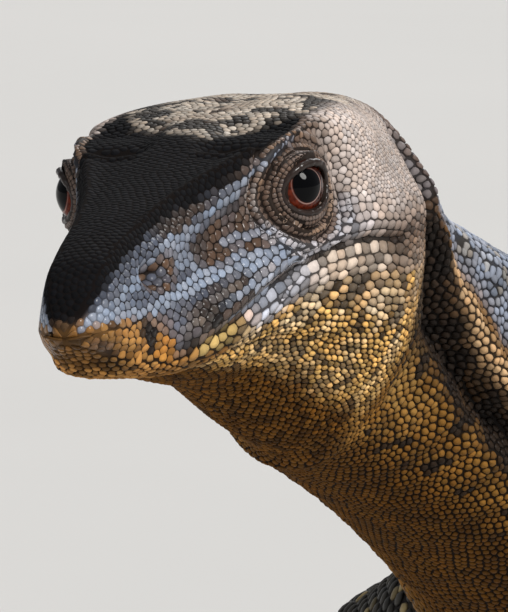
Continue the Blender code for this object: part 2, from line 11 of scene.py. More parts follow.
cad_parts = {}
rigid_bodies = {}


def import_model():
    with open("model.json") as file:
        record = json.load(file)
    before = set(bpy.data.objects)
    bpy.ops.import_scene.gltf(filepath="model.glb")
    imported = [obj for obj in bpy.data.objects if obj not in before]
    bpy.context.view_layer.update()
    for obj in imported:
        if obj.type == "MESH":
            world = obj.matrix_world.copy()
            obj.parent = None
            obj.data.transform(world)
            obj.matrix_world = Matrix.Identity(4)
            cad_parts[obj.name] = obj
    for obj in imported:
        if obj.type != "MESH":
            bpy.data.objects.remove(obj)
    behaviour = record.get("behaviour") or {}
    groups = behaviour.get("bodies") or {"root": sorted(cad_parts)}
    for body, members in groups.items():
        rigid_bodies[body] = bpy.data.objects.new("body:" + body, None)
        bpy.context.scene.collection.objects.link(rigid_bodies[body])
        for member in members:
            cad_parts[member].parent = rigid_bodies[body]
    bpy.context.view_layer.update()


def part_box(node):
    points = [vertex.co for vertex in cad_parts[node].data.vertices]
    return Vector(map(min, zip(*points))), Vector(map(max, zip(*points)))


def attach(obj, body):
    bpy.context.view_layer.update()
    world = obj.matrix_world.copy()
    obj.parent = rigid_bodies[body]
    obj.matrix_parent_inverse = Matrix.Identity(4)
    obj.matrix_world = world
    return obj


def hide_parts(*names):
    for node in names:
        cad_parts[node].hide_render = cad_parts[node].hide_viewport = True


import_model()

mm = 0.001
coatDepth = 0.35  # the skin lies this far inside the solids, in mm

# the body's own sizes, in mm, as the solids have them; places along it are measured from the snout's tip
shape = {
    "headLength": 125.0, "pitch": math.radians(3.0), "turn": math.radians(14.0),
    "roll": math.radians(5.0), "rollEnd": (104.0, 150.0),
    "joint": (18.0, -178.0, 202.0), "snoutRound": 11.0, "chinSetback": 5.0, "snoutMiddle": 0.5,
    "blend": (114.0, 148.0), "throat": (92.0, 116.0, 165.0, 192.0), "throatReach": 22.0,
}
# the eye's place and sizes in mm, and its colours; the pupil is an angle from its middle
eyeLook = {
    "radius": 6.2, "along": 68.5, "height": 12.5, "depth": 2.5, "opening": (4.9, 3.6), "lid": 1.15, "oval": 1.12,
    "turn": math.radians(22.0), "gaze": math.radians(36.0), "pupil": 0.46,
    "iris": (0.10, 0.015, 0.006), "irisGlow": (0.165, 0.020, 0.008), "ring": (0.45, 0.30, 0.26),
    "pupilTone": (0.002, 0.002, 0.0025), "whiteTone": (0.035, 0.022, 0.018), "lidTone": (0.026, 0.017, 0.014),
}
# u, crown z, brow x and z, eye level x, lip x, mouth z, throat z
headStations = np.array((
    (0.0, 8.0, 5.0, 6.5, 6.2, 6.3, -4.0, -6.8), (12.0, 12.6, 5.6, 10.4, 7.9, 8.1, -6.0, -8.4),
    (26.0, 15.8, 6.7, 13.8, 10.2, 12.0, -7.0, -10.6), (38.0, 17.6, 8.6, 16.6, 12.0, 15.4, -5.4, -12.8),
    (52.0, 19.8, 13.0, 19.2, 14.8, 18.2, -2.2, -17.0), (66.0, 22.3, 18.2, 21.4, 18.7, 20.8, 0.0, -21.0),
    (85.0, 23.2, 21.2, 20.5, 22.8, 24.6, 0.2, -29.6), (105.0, 21.8, 19.2, 17.6, 24.2, 26.6, -3.2, -39.8),
    (125.0, 18.4, 16.5, 14.8, 23.6, 26.2, -4.0, -47.0), (150.0, 12.0, 15.0, 9.0, 24.0, 28.0, -5.0, -52.0)))
spinePath = np.array((
    (14.0, -150.0, 190.0), (11.0, -115.0, 169.0), (8.0, -80.0, 149.0), (4.0, -40.0, 132.0), (0.0, 10.0, 119.0),
    (0.0, 80.0, 111.0), (0.0, 160.0, 106.0), (0.0, 245.0, 100.0), (0.0, 330.0, 91.0), (0.0, 400.0, 79.0),
    (0.0, 480.0, 62.0), (2.0, 570.0, 45.0), (12.0, 660.0, 35.0), (36.0, 755.0, 30.0), (70.0, 850.0, 25.5),
    (100.0, 945.0, 21.5), (116.0, 1045.0, 17.5), (110.0, 1145.0, 13.5), (80.0, 1240.0, 9.5),
    (36.0, 1322.0, 6.0), (-18.0, 1392.0, 3.2)))
# place along, half width, rise over and drop under the spine, how much the back narrows to a keel
girths = np.array((
    (100.0, 24.5, 20.0, 41.0, 0.0), (134.0, 21.8, 7.5, 43.5, 0.0), (160.0, 24.4, 10.0, 41.5, 0.0),
    (198.0, 28.5, 19.0, 36.5, 0.0), (238.0, 32.5, 26.5, 35.5, 0.0), (282.0, 42.0, 36.0, 42.0, 0.0),
    (335.0, 51.0, 42.0, 46.0, 0.0), (385.0, 57.0, 44.0, 48.0, 0.0), (430.0, 62.0, 46.0, 49.0, 0.0),
    (510.0, 69.0, 49.0, 51.0, 0.0), (590.0, 66.0, 47.0, 48.0, 0.0), (650.0, 55.0, 44.0, 43.0, 0.05),
    (700.0, 45.0, 41.0, 40.0, 0.1), (745.0, 37.0, 38.0, 36.0, 0.15), (830.0, 29.0, 35.0, 33.0, 0.3),
    (960.0, 21.0, 32.0, 30.0, 0.45), (1120.0, 14.5, 28.0, 25.5, 0.5), (1300.0, 10.0, 22.5, 18.5, 0.5),
    (1480.0, 7.0, 16.0, 12.0, 0.45), (1640.0, 4.4, 9.5, 7.0, 0.35), (1760.0, 2.6, 5.0, 4.0, 0.2),
    (1800.0, 1.5, 2.6, 2.4, 0.1)))
# place along, angle round, reach along, spread round and height of each swelling
muscles = ((330.0, 100.0, 46.0, 34.0, 7.0), (700.0, 95.0, 42.0, 36.0, 6.0), (800.0, 100.0, 60.0, 40.0, 2.5))
mouthCorner = 99.0
# joints and girths of each kind of leg, its step forwards or back, and each toe's angle and length
legs = {
    "fore": {"points": ((30.0, 2.0, 100.0), (94.0, 34.0, 74.0), (99.0, -8.0, 30.0)), "radii": (23.0, 15.5, 10.0),
             "gait": {"left": -16.0, "right": 28.0}, "palm": 30.0, "turn": 12.0, "width": 13.5,
             "toes": ((-58.0, 21.0), (-27.0, 30.0), (0.0, 34.0), (27.0, 31.0), (60.0, 24.0))},
    "hind": {"points": ((26.0, 338.0, 82.0), (112.0, 300.0, 78.0), (121.0, 350.0, 28.0)), "radii": (27.0, 19.0, 11.0),
             "gait": {"left": 18.0, "right": -14.0}, "palm": 52.0, "turn": 20.0, "width": 14.0,
             "toes": ((-34.0, 22.0), (-16.0, 33.0), (2.0, 42.0), (21.0, 48.0), (62.0, 30.0))},
}
footShape = {"sole": 7.6, "toeRoot": 6.0, "overlap": 7.0, "toeRadii": (5.4, 4.0),
             "clearance": (-0.5, 1.3, -0.6, 1.0, -0.5)}


def smoothTrack(xs, ys, x):
    xs, ys = np.asarray(xs, float), np.asarray(ys, float)
    slopes = np.gradient(ys, xs, axis=0)
    x = np.clip(x, xs[0], xs[-1])
    i = np.clip(np.searchsorted(xs, x) - 1, 0, len(xs) - 2)
    step = xs[i + 1] - xs[i]
    t = (x - xs[i]) / step
    if ys.ndim > 1:
        t, step = t[..., None], step[..., None]
    return ((1 + 2 * t) * (1 - t) ** 2 * ys[i] + t * (1 - t) ** 2 * step * slopes[i]
            + t * t * (3 - 2 * t) * ys[i + 1] + t * t * (t - 1) * step * slopes[i + 1])


def column(table, k, at):
    return smoothTrack(table[:, 0], table[:, k], at)


def ease(x, low, high):
    t = np.clip((x - low) / (high - low), 0.0, 1.0)
    return t * t * (3 - 2 * t)


def fade(x, low, high):
    return 1.0 - ease(x, low, high)


def bell(x, middle, reach):
    return np.exp(-(((x - middle) / reach) ** 2))


def unit(vectors):
    return vectors / np.maximum(np.linalg.norm(vectors, axis=-1, keepdims=True), 1e-12)


def chordLengths(points):
    return np.concatenate(([0.0], np.cumsum(np.linalg.norm(np.diff(points, axis=0), axis=1))))


def latticeNoise(points, seed=0):
    # smooth value noise between 0 and 1, one bump per unit
    cell = np.floor(points).astype(np.int64)
    f = points - cell
    f = f * f * (3 - 2 * f)
    total = np.zeros(len(points))
    for corner in range(8):
        offset = np.array((corner & 1, corner >> 1 & 1, corner >> 2))
        c = cell + offset
        mixed = (c[:, 0] * 73856093 ^ c[:, 1] * 19349663 ^ c[:, 2] * 83492791 ^ seed * 2654435761) & 0xFFFFFF
        mixed = (mixed * 1103515245 + 12345) & 0x7FFFFFFF
        value = ((mixed >> 8) & 0xFFFF) / 65535.0
        total += value * np.prod(np.where(offset == 1, f, 1 - f), axis=1)
    return total


def layeredNoise(points, size, seed=0, layers=3):
    total, weight = 0.0, 1.0
    for k in range(layers):
        total = total + weight * (latticeNoise(points * 2 ** k / size, seed + k) - 0.5)
        weight *= 0.5
    return np.clip(0.5 + total / 1.3, 0.0, 1.0)


def buildSpine():
    # the spine's line from the snout's tip to the tail's end, and the way along it
    level = math.cos(shape["pitch"])
    forward = np.array((level * math.sin(shape["turn"]), -level * math.cos(shape["turn"]), -math.sin(shape["pitch"])))
    onHead = [np.array(shape["joint"]) + forward * (shape["headLength"] - u) for u in (0.0, 60.0, 100.0, 125.0)]
    knots = np.concatenate((onHead, spinePath))
    chords = chordLengths(knots)
    points = smoothTrack(chords, knots, np.linspace(0.0, chords[-1], 4000))
    return points, chordLengths(points)


spinePoints, spineLengths = buildSpine()
bodyLength = spineLengths[-1]


def spinePlace(s):
    return np.stack([np.interp(s, spineLengths, spinePoints[:, k]) for k in range(3)], -1)


def spineFrame(s):
    along = unit(spinePlace(np.clip(s + 9.0, 0.0, bodyLength)) - spinePlace(np.clip(s - 9.0, 0.0, bodyLength)))
    side = unit(np.cross(along, np.array((0.0, 0.0, 1.0))))
    up = np.cross(side, along)
    roll = (shape["roll"] * fade(s, *shape["rollEnd"]))[..., None]
    return spinePlace(s), side * np.cos(roll) + up * np.sin(roll), up * np.cos(roll) - side * np.sin(roll)


def headSection(u, v):
    crown, browX, browZ, eyeX, lipX, mouth, throat = (column(headStations, k, u) for k in range(1, 8))
    zero = np.zeros_like(u)
    jaw = mouth - throat
    narrow = ease(u, 30.0, 75.0)
    shares = np.array((-0.12, 0.0, 0.12, 0.25, 0.37, 0.50, 0.58, 0.66, 0.80, 1.0, 1.2))
    xs = np.stack((zero, browX * 0.62, browX, eyeX, lipX, lipX * 0.97, lipX * (0.88 - 0.05 * narrow),
                   lipX * (0.58 - 0.12 * narrow), zero), -1)
    zs = np.stack((crown, crown - 0.4, browZ, (browZ + mouth) * 0.55, mouth + 4.5, mouth, mouth - 0.42 * jaw,
                   mouth - (0.85 - 0.04 * narrow) * jaw, throat), -1)
    xs = np.concatenate((-xs[:, 1:2], xs, -xs[:, -2:-1]), -1)
    zs = np.concatenate((zs[:, 1:2], zs, zs[:, -2:-1]), -1)
    x, z = (np.array([smoothTrack(shares, row, v) for row in track]) for track in (xs, zs))
    depth = np.clip(u[:, None] / shape["snoutRound"], 0.0, 1.0)
    close = np.sqrt(1.0 - (1.0 - depth) ** 2)
    return x * close, shape["snoutMiddle"] + (z - shape["snoutMiddle"]) * close


def girthSection(s, v):
    wide, rise, drop, keel = (column(girths, k, s)[:, None] for k in range(1, 5))
    turn = v[None, :] * math.pi
    lean = np.cos(turn)
    x = wide * np.sin(turn) ** np.where(lean > 0, 1.0, 0.86)
    x = x * (1.0 - keel * np.clip(lean, 0.0, 1.0) ** 1.2)
    z = np.where(lean > 0, rise, drop) * lean
    for at, angle, reach, spread, height in muscles:
        x = x + height * bell(s[:, None], at, reach) * bell(np.degrees(turn), angle, spread) * np.sin(turn)
    return x, z


def earRing(s, z):
    # 1 on the ear opening's edge
    return np.hypot((s - 117.0 - 0.15 * (z - 4.0)) / 4.2, (z - 4.0) / 8.5)


def mouthShut(s):
    # 1 along the mouth line, 0 behind its corner
    return fade(s, mouthCorner - 2.0, mouthCorner + 3.0)


def headRelief(u, x, z):
    # the forms that the solids have too: nostril, jaw muscles, ear and mouth line
    mouth = column(headStations, 6, u)
    eye = np.hypot((u - eyeLook["along"]) / 1.15, z - eyeLook["height"])
    lift = -1.3 * bell(eye, 10.6, 1.8) * ease(z, 3.0, 8.0)
    lift += 1.2 * bell(u, 22.0, 7.0) * bell(z, 7.0, 5.0)
    lift -= 3.0 * bell(np.hypot((u - 21.0) / 1.3, z - 7.0), 0.0, 2.3)
    lift += 1.6 * bell(u, 97.0, 14.0) * bell(z, 14.0, 10.0)
    lift += 1.6 * bell(u, 104.0, 14.0) * bell(z, -10.0, 12.0)
    ear = earRing(u, z)
    lift -= 4.2 * fade(ear, 0.6, 1.25)
    lift += 0.8 * bell(ear, 1.5, 0.35) * ease(u, 117.0, 123.0)
    return lift * ease(x, 3.0, 7.0) - 1.3 * bell(z, mouth, 1.3) * mouthShut(u)


# heights and depths of the skin's own folds, in mm
skinLook = {"canthus": 0.8, "loreal": 0.9, "eyeFold": 0.55, "lips": 0.6, "neckFold": 3.6, "jawCrease": 0.9,
            "wrinkle": 0.45}
# how far round the head the ridge from eye to nostril lies
canthus = ((0.0, 30.0, 48.0, 58.0, 67.0, 73.0, 80.0), (0.295, 0.300, 0.305, 0.287, 0.255, 0.215, 0.20))


def eyeRing(s, z):
    # distance from the eye's middle on the head's side, in mm
    return np.hypot((s - eyeLook["along"]) / eyeLook["oval"], z - eyeLook["height"])


def foldWave(ring, z):
    # the folds round the eye, 1 on their crests and -1 in their grooves
    above = ease(z - eyeLook["height"], -1.0, 4.0)
    return np.cos((ring - 7.6 + 1.4 * above) * 2 * math.pi / (2.4 + 0.7 * above))


def nostrilRing(s, z):
    return np.hypot((s - 23.3) / 1.7, z - 7.3)


def behindEye(s, z):
    # the flat temple behind the eye, where the folds end
    return ease(s - eyeLook["along"], 1.5, 5.0) * ease(z - eyeLook["height"], -5.0, -1.5)


def foldLine(s):
    # how far round the neck the fold behind the jaw lies
    return np.interp(s, (110.0, 129.0, 139.0, 152.0, 164.0, 175.0, 215.0),
                     (0.585, 0.60, 0.61, 0.63, 0.655, 0.675, 0.70))


def fineRelief(s, v, x, z):
    # folds and ridges that only the skin has
    mouth = column(headStations, 6, s)
    onHead = fade(s, 112.0, 140.0)
    side = ease(x, 3.0, 7.0)
    ridge = bell(v - np.interp(s, canthus[0], canthus[1]), 0.0, 0.022)
    lift = skinLook["canthus"] * ridge * ease(s, 14.0, 34.0) * fade(s, 70.0, 80.0)
    lift -= skinLook["loreal"] * bell(v, 0.35, 0.05) * bell(s, 44.0, 15.0)
    ring = eyeRing(s, z)
    fold = foldWave(ring, z) * ease(ring, 4.8, 6.0) * fade(ring, 12.6, 14.5)
    flat = 1.0 - 0.9 * behindEye(s, z) * ease(ring, 7.4, 8.4)
    lift += skinLook["eyeFold"] * fold * fade(z, 21.0, 23.0) * side * flat
    lift -= 1.2 * bell(nostrilRing(s, z), 0.0, 1.5)
    closed = fade(s, mouthCorner - 6.0, mouthCorner + 2.0)
    lift += skinLook["lips"] * (bell(z, mouth + 3.0, 2.0) + bell(z, mouth - 3.0, 1.9)) * closed * ease(s, 3.0, 10.0)
    lift -= skinLook["jawCrease"] * bell(v, 0.71, 0.016) * ease(s, 26.0, 36.0) * fade(s, 84.0, 104.0)
    # the solids' mouth line is filled up again, wholly on the snout and less behind it
    lift = lift * onHead + bell(z, mouth, 1.3) * (1.3 - 0.8 * ease(s, 26.0, 44.0)) * mouthShut(s)
    groove = foldLine(s)
    along = ease(s, 114.0, 126.0) * fade(s, 178.0, 215.0)
    lift -= skinLook["neckFold"] * bell(v, groove, 0.024) * along
    lift += 2.4 * bell(v, groove - 0.055, 0.026) * along * ease(s, 122.0, 134.0)
    lift += 0.9 * bell(v, groove + 0.05, 0.03) * along
    folds = np.sin(s * 2 * math.pi / 10.5 + 3.0 * np.sin(v * 7.0)) * ease(s, 134.0, 165.0) * fade(s, 270.0, 330.0)
    return lift + skinLook["wrinkle"] * folds * bell(v, 0.62, 0.3)


def eyeCentre(flip):
    row = np.array((eyeLook["along"],))
    x, z = (track[0] for track in headSection(row, np.linspace(0.0, 0.6, 200)))
    out = np.interp(-eyeLook["height"], -z, x)
    centre, side, up = (vectors[0] for vectors in spineFrame(row))
    return centre + side * (out - eyeLook["depth"]) * flip + up * eyeLook["height"]


def gazeFrame(flip):
    # outward, rearward and upward directions of the lids' opening
    _, side, up = (vectors[0] for vectors in spineFrame(np.array((eyeLook["along"],))))
    back, turn = np.cross(up, side), eyeLook["turn"]
    out = side * flip
    return out * math.cos(turn) - back * math.sin(turn), back * math.cos(turn) + out * math.sin(turn), up


def lidAngles(away, out, back, up):
    # angle from the opening's axis, and the angle of its edge that way
    reach = eyeLook["radius"] + 0.3
    way = unit(away)
    angle = np.arccos(np.clip(way @ out, -1.0, 1.0))
    wide = np.hypot(way @ back / eyeLook["opening"][0], way @ up / eyeLook["opening"][1]) * reach
    edge = np.arcsin(np.clip(np.sin(angle) / np.maximum(wide, 1e-6), 0.0, 0.999))
    return angle, np.maximum(edge, 0.05)


def lidShare(away, out, back, up):
    angle, edge = lidAngles(away, out, back, up)
    return angle / edge


def closeLids(points, s):
    rows = np.abs(s - eyeLook["along"]) < 2.5 * eyeLook["radius"]
    if not rows.any():
        return points
    centre = eyeCentre(1.0)
    out, back, up = gazeFrame(1.0)
    away = points[rows] - centre
    distance = np.linalg.norm(away, axis=-1)
    ring = lidShare(away, out, back, up)
    angle, edge = lidAngles(away, out, back, up)
    lid = (eyeLook["radius"] + 0.3 + eyeLook["lid"] * ease(ring, 1.0, 1.3)
           + 0.5 * bell(angle - edge, 0.44, 0.10) - 0.3 * bell(angle - edge, 0.24, 0.07))
    over = fade(ring, 1.5, 2.3)
    reach = np.where(ring > 1.0, np.maximum(distance, lid), np.minimum(distance, eyeLook["radius"] - 0.6))
    points[rows] = centre + away * (1.0 + over * (reach / np.maximum(distance, 0.1) - 1.0))[..., None]
    return points


def plainPoints(s, v):
    headX, headZ = headSection(np.minimum(s, headStations[-1][0]), v)
    trunkX, trunkZ = girthSection(s, v)
    share = ease(s, *shape["blend"])[:, None]
    x = headX * (1 - share) + trunkX * share
    z = headZ * (1 - share) + trunkZ * share
    centre, side, up = (vectors[:, None] for vectors in spineFrame(s))
    return centre + side * x[..., None] + up * z[..., None], x, z


def softThroat(points, s, v):
    # the throat's rows crowd inside the neck's bend, so each becomes a mean of its neighbours
    low, full, begin, end = shape["throat"]
    share = ease(s, low, full) * fade(s, begin, end)
    rows = np.flatnonzero(share > 0.0)
    if not len(rows):
        return points
    offsets = np.linspace(-2.0, 2.0, 9)
    weights = np.exp(-offsets ** 2) / np.exp(-offsets ** 2).sum()
    mean = sum(weight * plainPoints(s[rows] + offset * shape["throatReach"] / 2.0, v)[0]
               for weight, offset in zip(weights, offsets))
    centre, side, _ = spineFrame(s[rows])
    off = ((mean[:, -1] - centre) * side).sum(-1, keepdims=True) * side
    amount = (share[rows][:, None] * ease(v, 0.5, 0.8))[..., None]
    points = points.copy()
    points[rows] = points[rows] * (1 - amount) + (mean - off[:, None]) * amount
    return points


def bodyPoints(s, v):
    points, x, z = plainPoints(s, v)
    points = softThroat(points, s, v)
    share = ease(s, *shape["blend"])[:, None]
    _, side, up = (vectors[:, None] for vectors in spineFrame(s))
    setback = shape["chinSetback"] * ease(-z, -1.0, 5.0) * fade(s, 6.0, 32.0)[:, None]
    points = points + np.cross(up, side) * setback[..., None]
    normal = np.cross(np.gradient(points, axis=1), np.gradient(points, axis=0))
    normal[:, (0, -1)] -= (normal[:, (0, -1)] * side).sum(-1, keepdims=True) * side
    grid = s[:, None] + 0.0 * x
    lift = headRelief(grid, x, z) * (1 - share) + fineRelief(grid, v[None, :] + 0.0 * x, x, z) - coatDepth
    points = closeLids(points + unit(normal) * lift[..., None], s)
    points[..., 2] = np.maximum(points[..., 2], 0.05)
    return points


class Sheet:
    # a closed tube of skin, read by distance along it and share round it, -1 to 1
    def __init__(self, rows, grid, uvBox, name):
        self.rows, self.grid, self.uvBox, self.name = rows, grid, uvBox, name
        self.count = grid.shape[1]
        self.loop = np.concatenate((grid, grid[:, :1]), 1)
        self.girth = np.linalg.norm(np.diff(self.loop, axis=1), axis=2).sum(1)

    def at(self, s, w):
        i = np.clip(np.searchsorted(self.rows, s) - 1, 0, len(self.rows) - 2)
        t = np.clip((s - self.rows[i]) / (self.rows[i + 1] - self.rows[i]), 0.0, 1.0)[:, None]
        c = ((w + 1.0) / 2 * self.count) % self.count
        j = np.minimum(c.astype(int), self.count - 1)
        f = (c - j)[:, None]
        low = self.loop[i, j] * (1 - f) + self.loop[i, j + 1] * f
        high = self.loop[i + 1, j] * (1 - f) + self.loop[i + 1, j + 1] * f
        return low * (1 - t) + high * t

    def axes(self, s, w, reach=0.5):
        # slopes per mm along and per unit of w, and the outward normal
        girth = np.interp(s, self.rows, self.girth)
        step = reach * 2.0 / girth
        low, high = np.maximum(s - reach, self.rows[0]), np.minimum(s + reach, self.rows[-1])
        alongSlope = (self.at(high, w) - self.at(low, w)) / (high - low)[:, None]
        roundSlope = (self.at(s, w + step) - self.at(s, w - step)) / (2 * step)[:, None]
        return alongSlope, roundSlope, unit(np.cross(alongSlope, roundSlope)) * self.facing

    def settle(self):
        # which way round the grid runs, from its middle
        s, w = np.full(8, self.rows[len(self.rows) // 2]), np.linspace(-1.0, 0.75, 8)
        self.facing = 1.0
        _, _, normal = self.axes(s, w)
        p = self.at(s, w)
        self.facing = 1.0 if ((p - p.mean(0)) * normal).sum() > 0 else -1.0
        self.leftSign = 1.0 if self.at(s[:1], np.array((0.5,)))[0, 0] > self.at(s[:1], np.array((-0.5,)))[0, 0] else -1.0
        return self

    def unwrap(self, s, w):
        u0, v0, u1, v1 = self.uvBox
        return np.stack((u0 + (u1 - u0) * self.alongShare(s), v0 + (v1 - v0) * ((w + 1.0) / 2 % 1.0)), -1)

    def alongShare(self, s):
        return (s - self.rows[0]) / (self.rows[-1] - self.rows[0])


class BodySheet(Sheet):
    def alongShare(self, s):
        return np.interp(s, (0.0, 300.0, bodyLength), (0.0, 0.5, 1.0))


def bodySheet():
    stretches = ((12.0, 30.0, 0.5), (30.0, 56.0, 0.8), (56.0, 78.0, 0.5), (78.0, 108.0, 1.0), (108.0, 128.0, 0.7),
                 (128.0, 150.0, 1.0), (150.0, 300.0, 3.0), (300.0, 745.0, 7.0), (745.0, bodyLength - 1.3, 12.0))
    rows = [11.0 * (1 - np.cos(np.linspace(0.09, 1.56, 24)))]
    for low, high, step in stretches:
        rows.append(np.arange(low, high, step))
    rows = np.concatenate(rows + [np.array((bodyLength - 1.3,))])
    half = bodyPoints(rows, np.linspace(0.0, 1.0, 79))
    place, side, _ = spineFrame(rows)
    away = ((half - place[:, None]) * side[:, None]).sum(-1, keepdims=True)
    mirrored = half - 2 * away * side[:, None]
    grid = np.concatenate((mirrored[:, :0:-1], half[:, :-1]), 1)
    return BodySheet(rows, grid, (0.0, 0.0, 1.0, 0.72), "body").settle()


def tubeSheet(path, radii, sides, flatten, uvBox, name):
    along = unit(np.gradient(path, axis=0))
    across = unit(np.cross(along, np.array((0.0, 0.0, 1.0))))
    upward = np.cross(across, along)
    angles = (np.arange(sides) / sides * 2.0 - 1.0) * math.pi
    ring = np.cos(angles)[None, :, None] * across[:, None] + (
        np.asarray(flatten)[:, None, None] * np.sin(angles)[None, :, None] * upward[:, None])
    grid = path[:, None] + (np.asarray(radii) - coatDepth)[:, None, None] * ring
    return Sheet(chordLengths(path), grid, uvBox, name).settle()


def legPath(points, steps=44, bend=16.0):
    lengths = chordLengths(points)
    t = np.linspace(0.0, lengths[-1], steps * 4)
    line = np.stack([np.interp(t, lengths, points[:, k]) for k in range(3)], -1)
    window = max(1, int(bend / (t[1] - t[0])))
    padded = np.concatenate((
        line[0] - (line[1] - line[0]) * np.arange(window, 0, -1)[:, None], line,
        line[-1] + (line[-1] - line[-2]) * np.arange(1, window + 1)[:, None]))
    weights = np.hanning(2 * window + 3)[1:-1]
    weights /= weights.sum()
    soft = np.stack([np.convolve(padded[:, k], weights, "valid") for k in range(3)], -1)
    pick = np.linspace(0, len(soft) - 1, steps).astype(int)
    return soft[pick], lengths, t[pick]


def limbSheets():
    # leg, ankle, sole and toes of each limb, with where each claw starts
    sheets, claws = [], []
    for index, (kind, side) in enumerate((k, s) for k in ("fore", "hind") for s in ("left", "right")):
        form, flip = legs[kind], 1.0 if side == "left" else -1.0
        root, joint, end = (np.array(p) for p in form["points"])
        shift = np.array((0.0, form["gait"][side], 0.0))
        points = np.array((root, joint + shift * 0.4, end + shift)) * (flip, 1.0, 1.0)
        path, lengths, t = legPath(points)
        radii = smoothTrack(lengths, form["radii"], t)
        u0 = index * 0.25
        muscle = 1.0 + 0.10 * bell(t / t[-1], 0.66, 0.12) + 0.05 * bell(t / t[-1], 0.3, 0.14)
        into = unit(path[-1] - path[-3])
        wrist = path[-1]
        heel = wrist + into * (wrist[2] - footShape["sole"]) / -into[2]
        tail = wrist + (heel - wrist) * np.linspace(0.12, 1.0, 8)[:, None]
        whole = np.concatenate((path, tail))
        wide = np.concatenate((radii * muscle, radii[-1] * np.linspace(1.0, 0.82, 8)))
        sheets.append(tubeSheet(whole, wide, 44, np.ones(len(whole)), (u0, 0.74, u0 + 0.12, 1.0), f"{kind}_{side}_leg"))
        turn = math.radians(form["turn"]) * flip
        forward = np.array((math.sin(turn), -math.cos(turn), 0.0))
        soleEnd = np.array((*(heel + forward * form["palm"])[:2], footShape["toeRoot"]))
        share = np.concatenate(((-0.15, -0.13, -0.10), np.linspace(-0.06, 1.03, 22), (1.07, 1.10)))
        sole = heel + share[:, None] * (soleEnd - heel)
        sole[:, 2] = np.interp(share, (0.0, 1.0), (footShape["sole"], footShape["toeRoot"]))
        radii = np.interp(share, (-0.15, -0.13, -0.10, -0.06, 0.25, 1.03, 1.07, 1.10),
                          (2.0, 5.5, 7.6, 9.0, 10.5, form["width"], form["width"] * 0.8, form["width"] * 0.4))
        height = np.interp(share, (-0.15, -0.13, -0.10, -0.06, 1.03, 1.07, 1.10), (1.5, 4.5, 7.0, 8.5, 6.9, 5.4, 3.0))
        sheets.append(tubeSheet(sole, radii, 36, height / radii, (u0 + 0.13, 0.74, u0 + 0.165, 1.0), f"{kind}_{side}_sole"))
        aside = np.array((math.cos(turn), math.sin(turn), 0.0)) * flip
        for number, (angle, length) in enumerate(form["toes"], 1):
            spread = turn + math.radians(angle) * flip
            line = np.array((math.sin(spread), -math.cos(spread), 0.0))
            sideways = aside * form["width"] * 0.72 * math.sin(math.radians(angle))
            start = soleEnd - forward * footShape["overlap"] + sideways
            stations = np.array((0.0, 0.28, 0.52, 0.78, 1.0))
            fine = np.linspace(0.0, 1.0, 20)
            taper = np.interp(stations, (0.0, 1.0), footShape["toeRadii"])
            radii = smoothTrack(stations, taper * (1.0, 0.92, 1.04, 0.9, 0.8), fine)
            toe = start + np.outer(fine * (length + footShape["overlap"]), line)
            toe[:, 2] = radii + smoothTrack(stations, np.array(footShape["clearance"]), fine)
            tip = toe[-1].copy()
            radii[-2:] *= (0.96, 0.8)
            uv = (u0 + 0.17 + 0.015 * number - 0.015, 0.74, u0 + 0.17 + 0.015 * number - 0.003, 1.0)
            sheets.append(tubeSheet(toe, radii, 20, np.ones(20), uv, f"{kind}_{side}_toe_{number}"))
            claws.append((f"{kind}_{side}_claw_{number}", tip, line))
    return sheets, claws


# colours of the coat; skin and scales take them by the same formulas
tones = {
    # head, top and sides
    "snoutBlack": (0.004, 0.004, 0.005), "crown": (0.46, 0.39, 0.32), "slate": (0.085, 0.095, 0.125),
    "blue": (0.27, 0.315, 0.40), "loreal": (0.050, 0.036, 0.030), "taupe": (0.150, 0.118, 0.095),
    "brown": (0.105, 0.062, 0.040), "temple": (0.54, 0.455, 0.41), "cheek": (0.36, 0.29, 0.25),
    "rim": (0.10, 0.055, 0.030), "ear": (0.045, 0.030, 0.022),
    # eyelids; the palest tone is a painted highlight on the folds' crests
    "crestHighlight": (0.43, 0.39, 0.37), "lid": (0.150, 0.112, 0.095), "bag": (0.235, 0.135, 0.070),
    # lips, jaw and throat; the throat's brown is darkened partly as painted shade under the jaw
    "tan": (0.34, 0.165, 0.045), "orange": (0.40, 0.175, 0.035), "yellow": (0.46, 0.31, 0.11),
    "lipGrey": (0.50, 0.50, 0.55), "lipWarm": (0.54, 0.43, 0.34), "tipShade": (0.060, 0.028, 0.008),
    "bead": (0.66, 0.385, 0.115), "cream": (0.66, 0.52, 0.34), "throat": (0.115, 0.047, 0.006),
    # neck; its brown is darkened partly as painted shade
    "gap": (0.012, 0.007, 0.005), "neckDark": (0.014, 0.010, 0.008), "neck": (0.215, 0.100, 0.018),
    "greyBack": (0.25, 0.275, 0.335), "flap": (0.66, 0.42, 0.22),
    # trunk, tail and limbs
    "back": (0.060, 0.058, 0.056), "spot": (0.36, 0.27, 0.12), "belly": (0.40, 0.30, 0.14), "limb": (0.036, 0.033, 0.028),
}
tones = {name: np.array(tone) for name, tone in tones.items()}
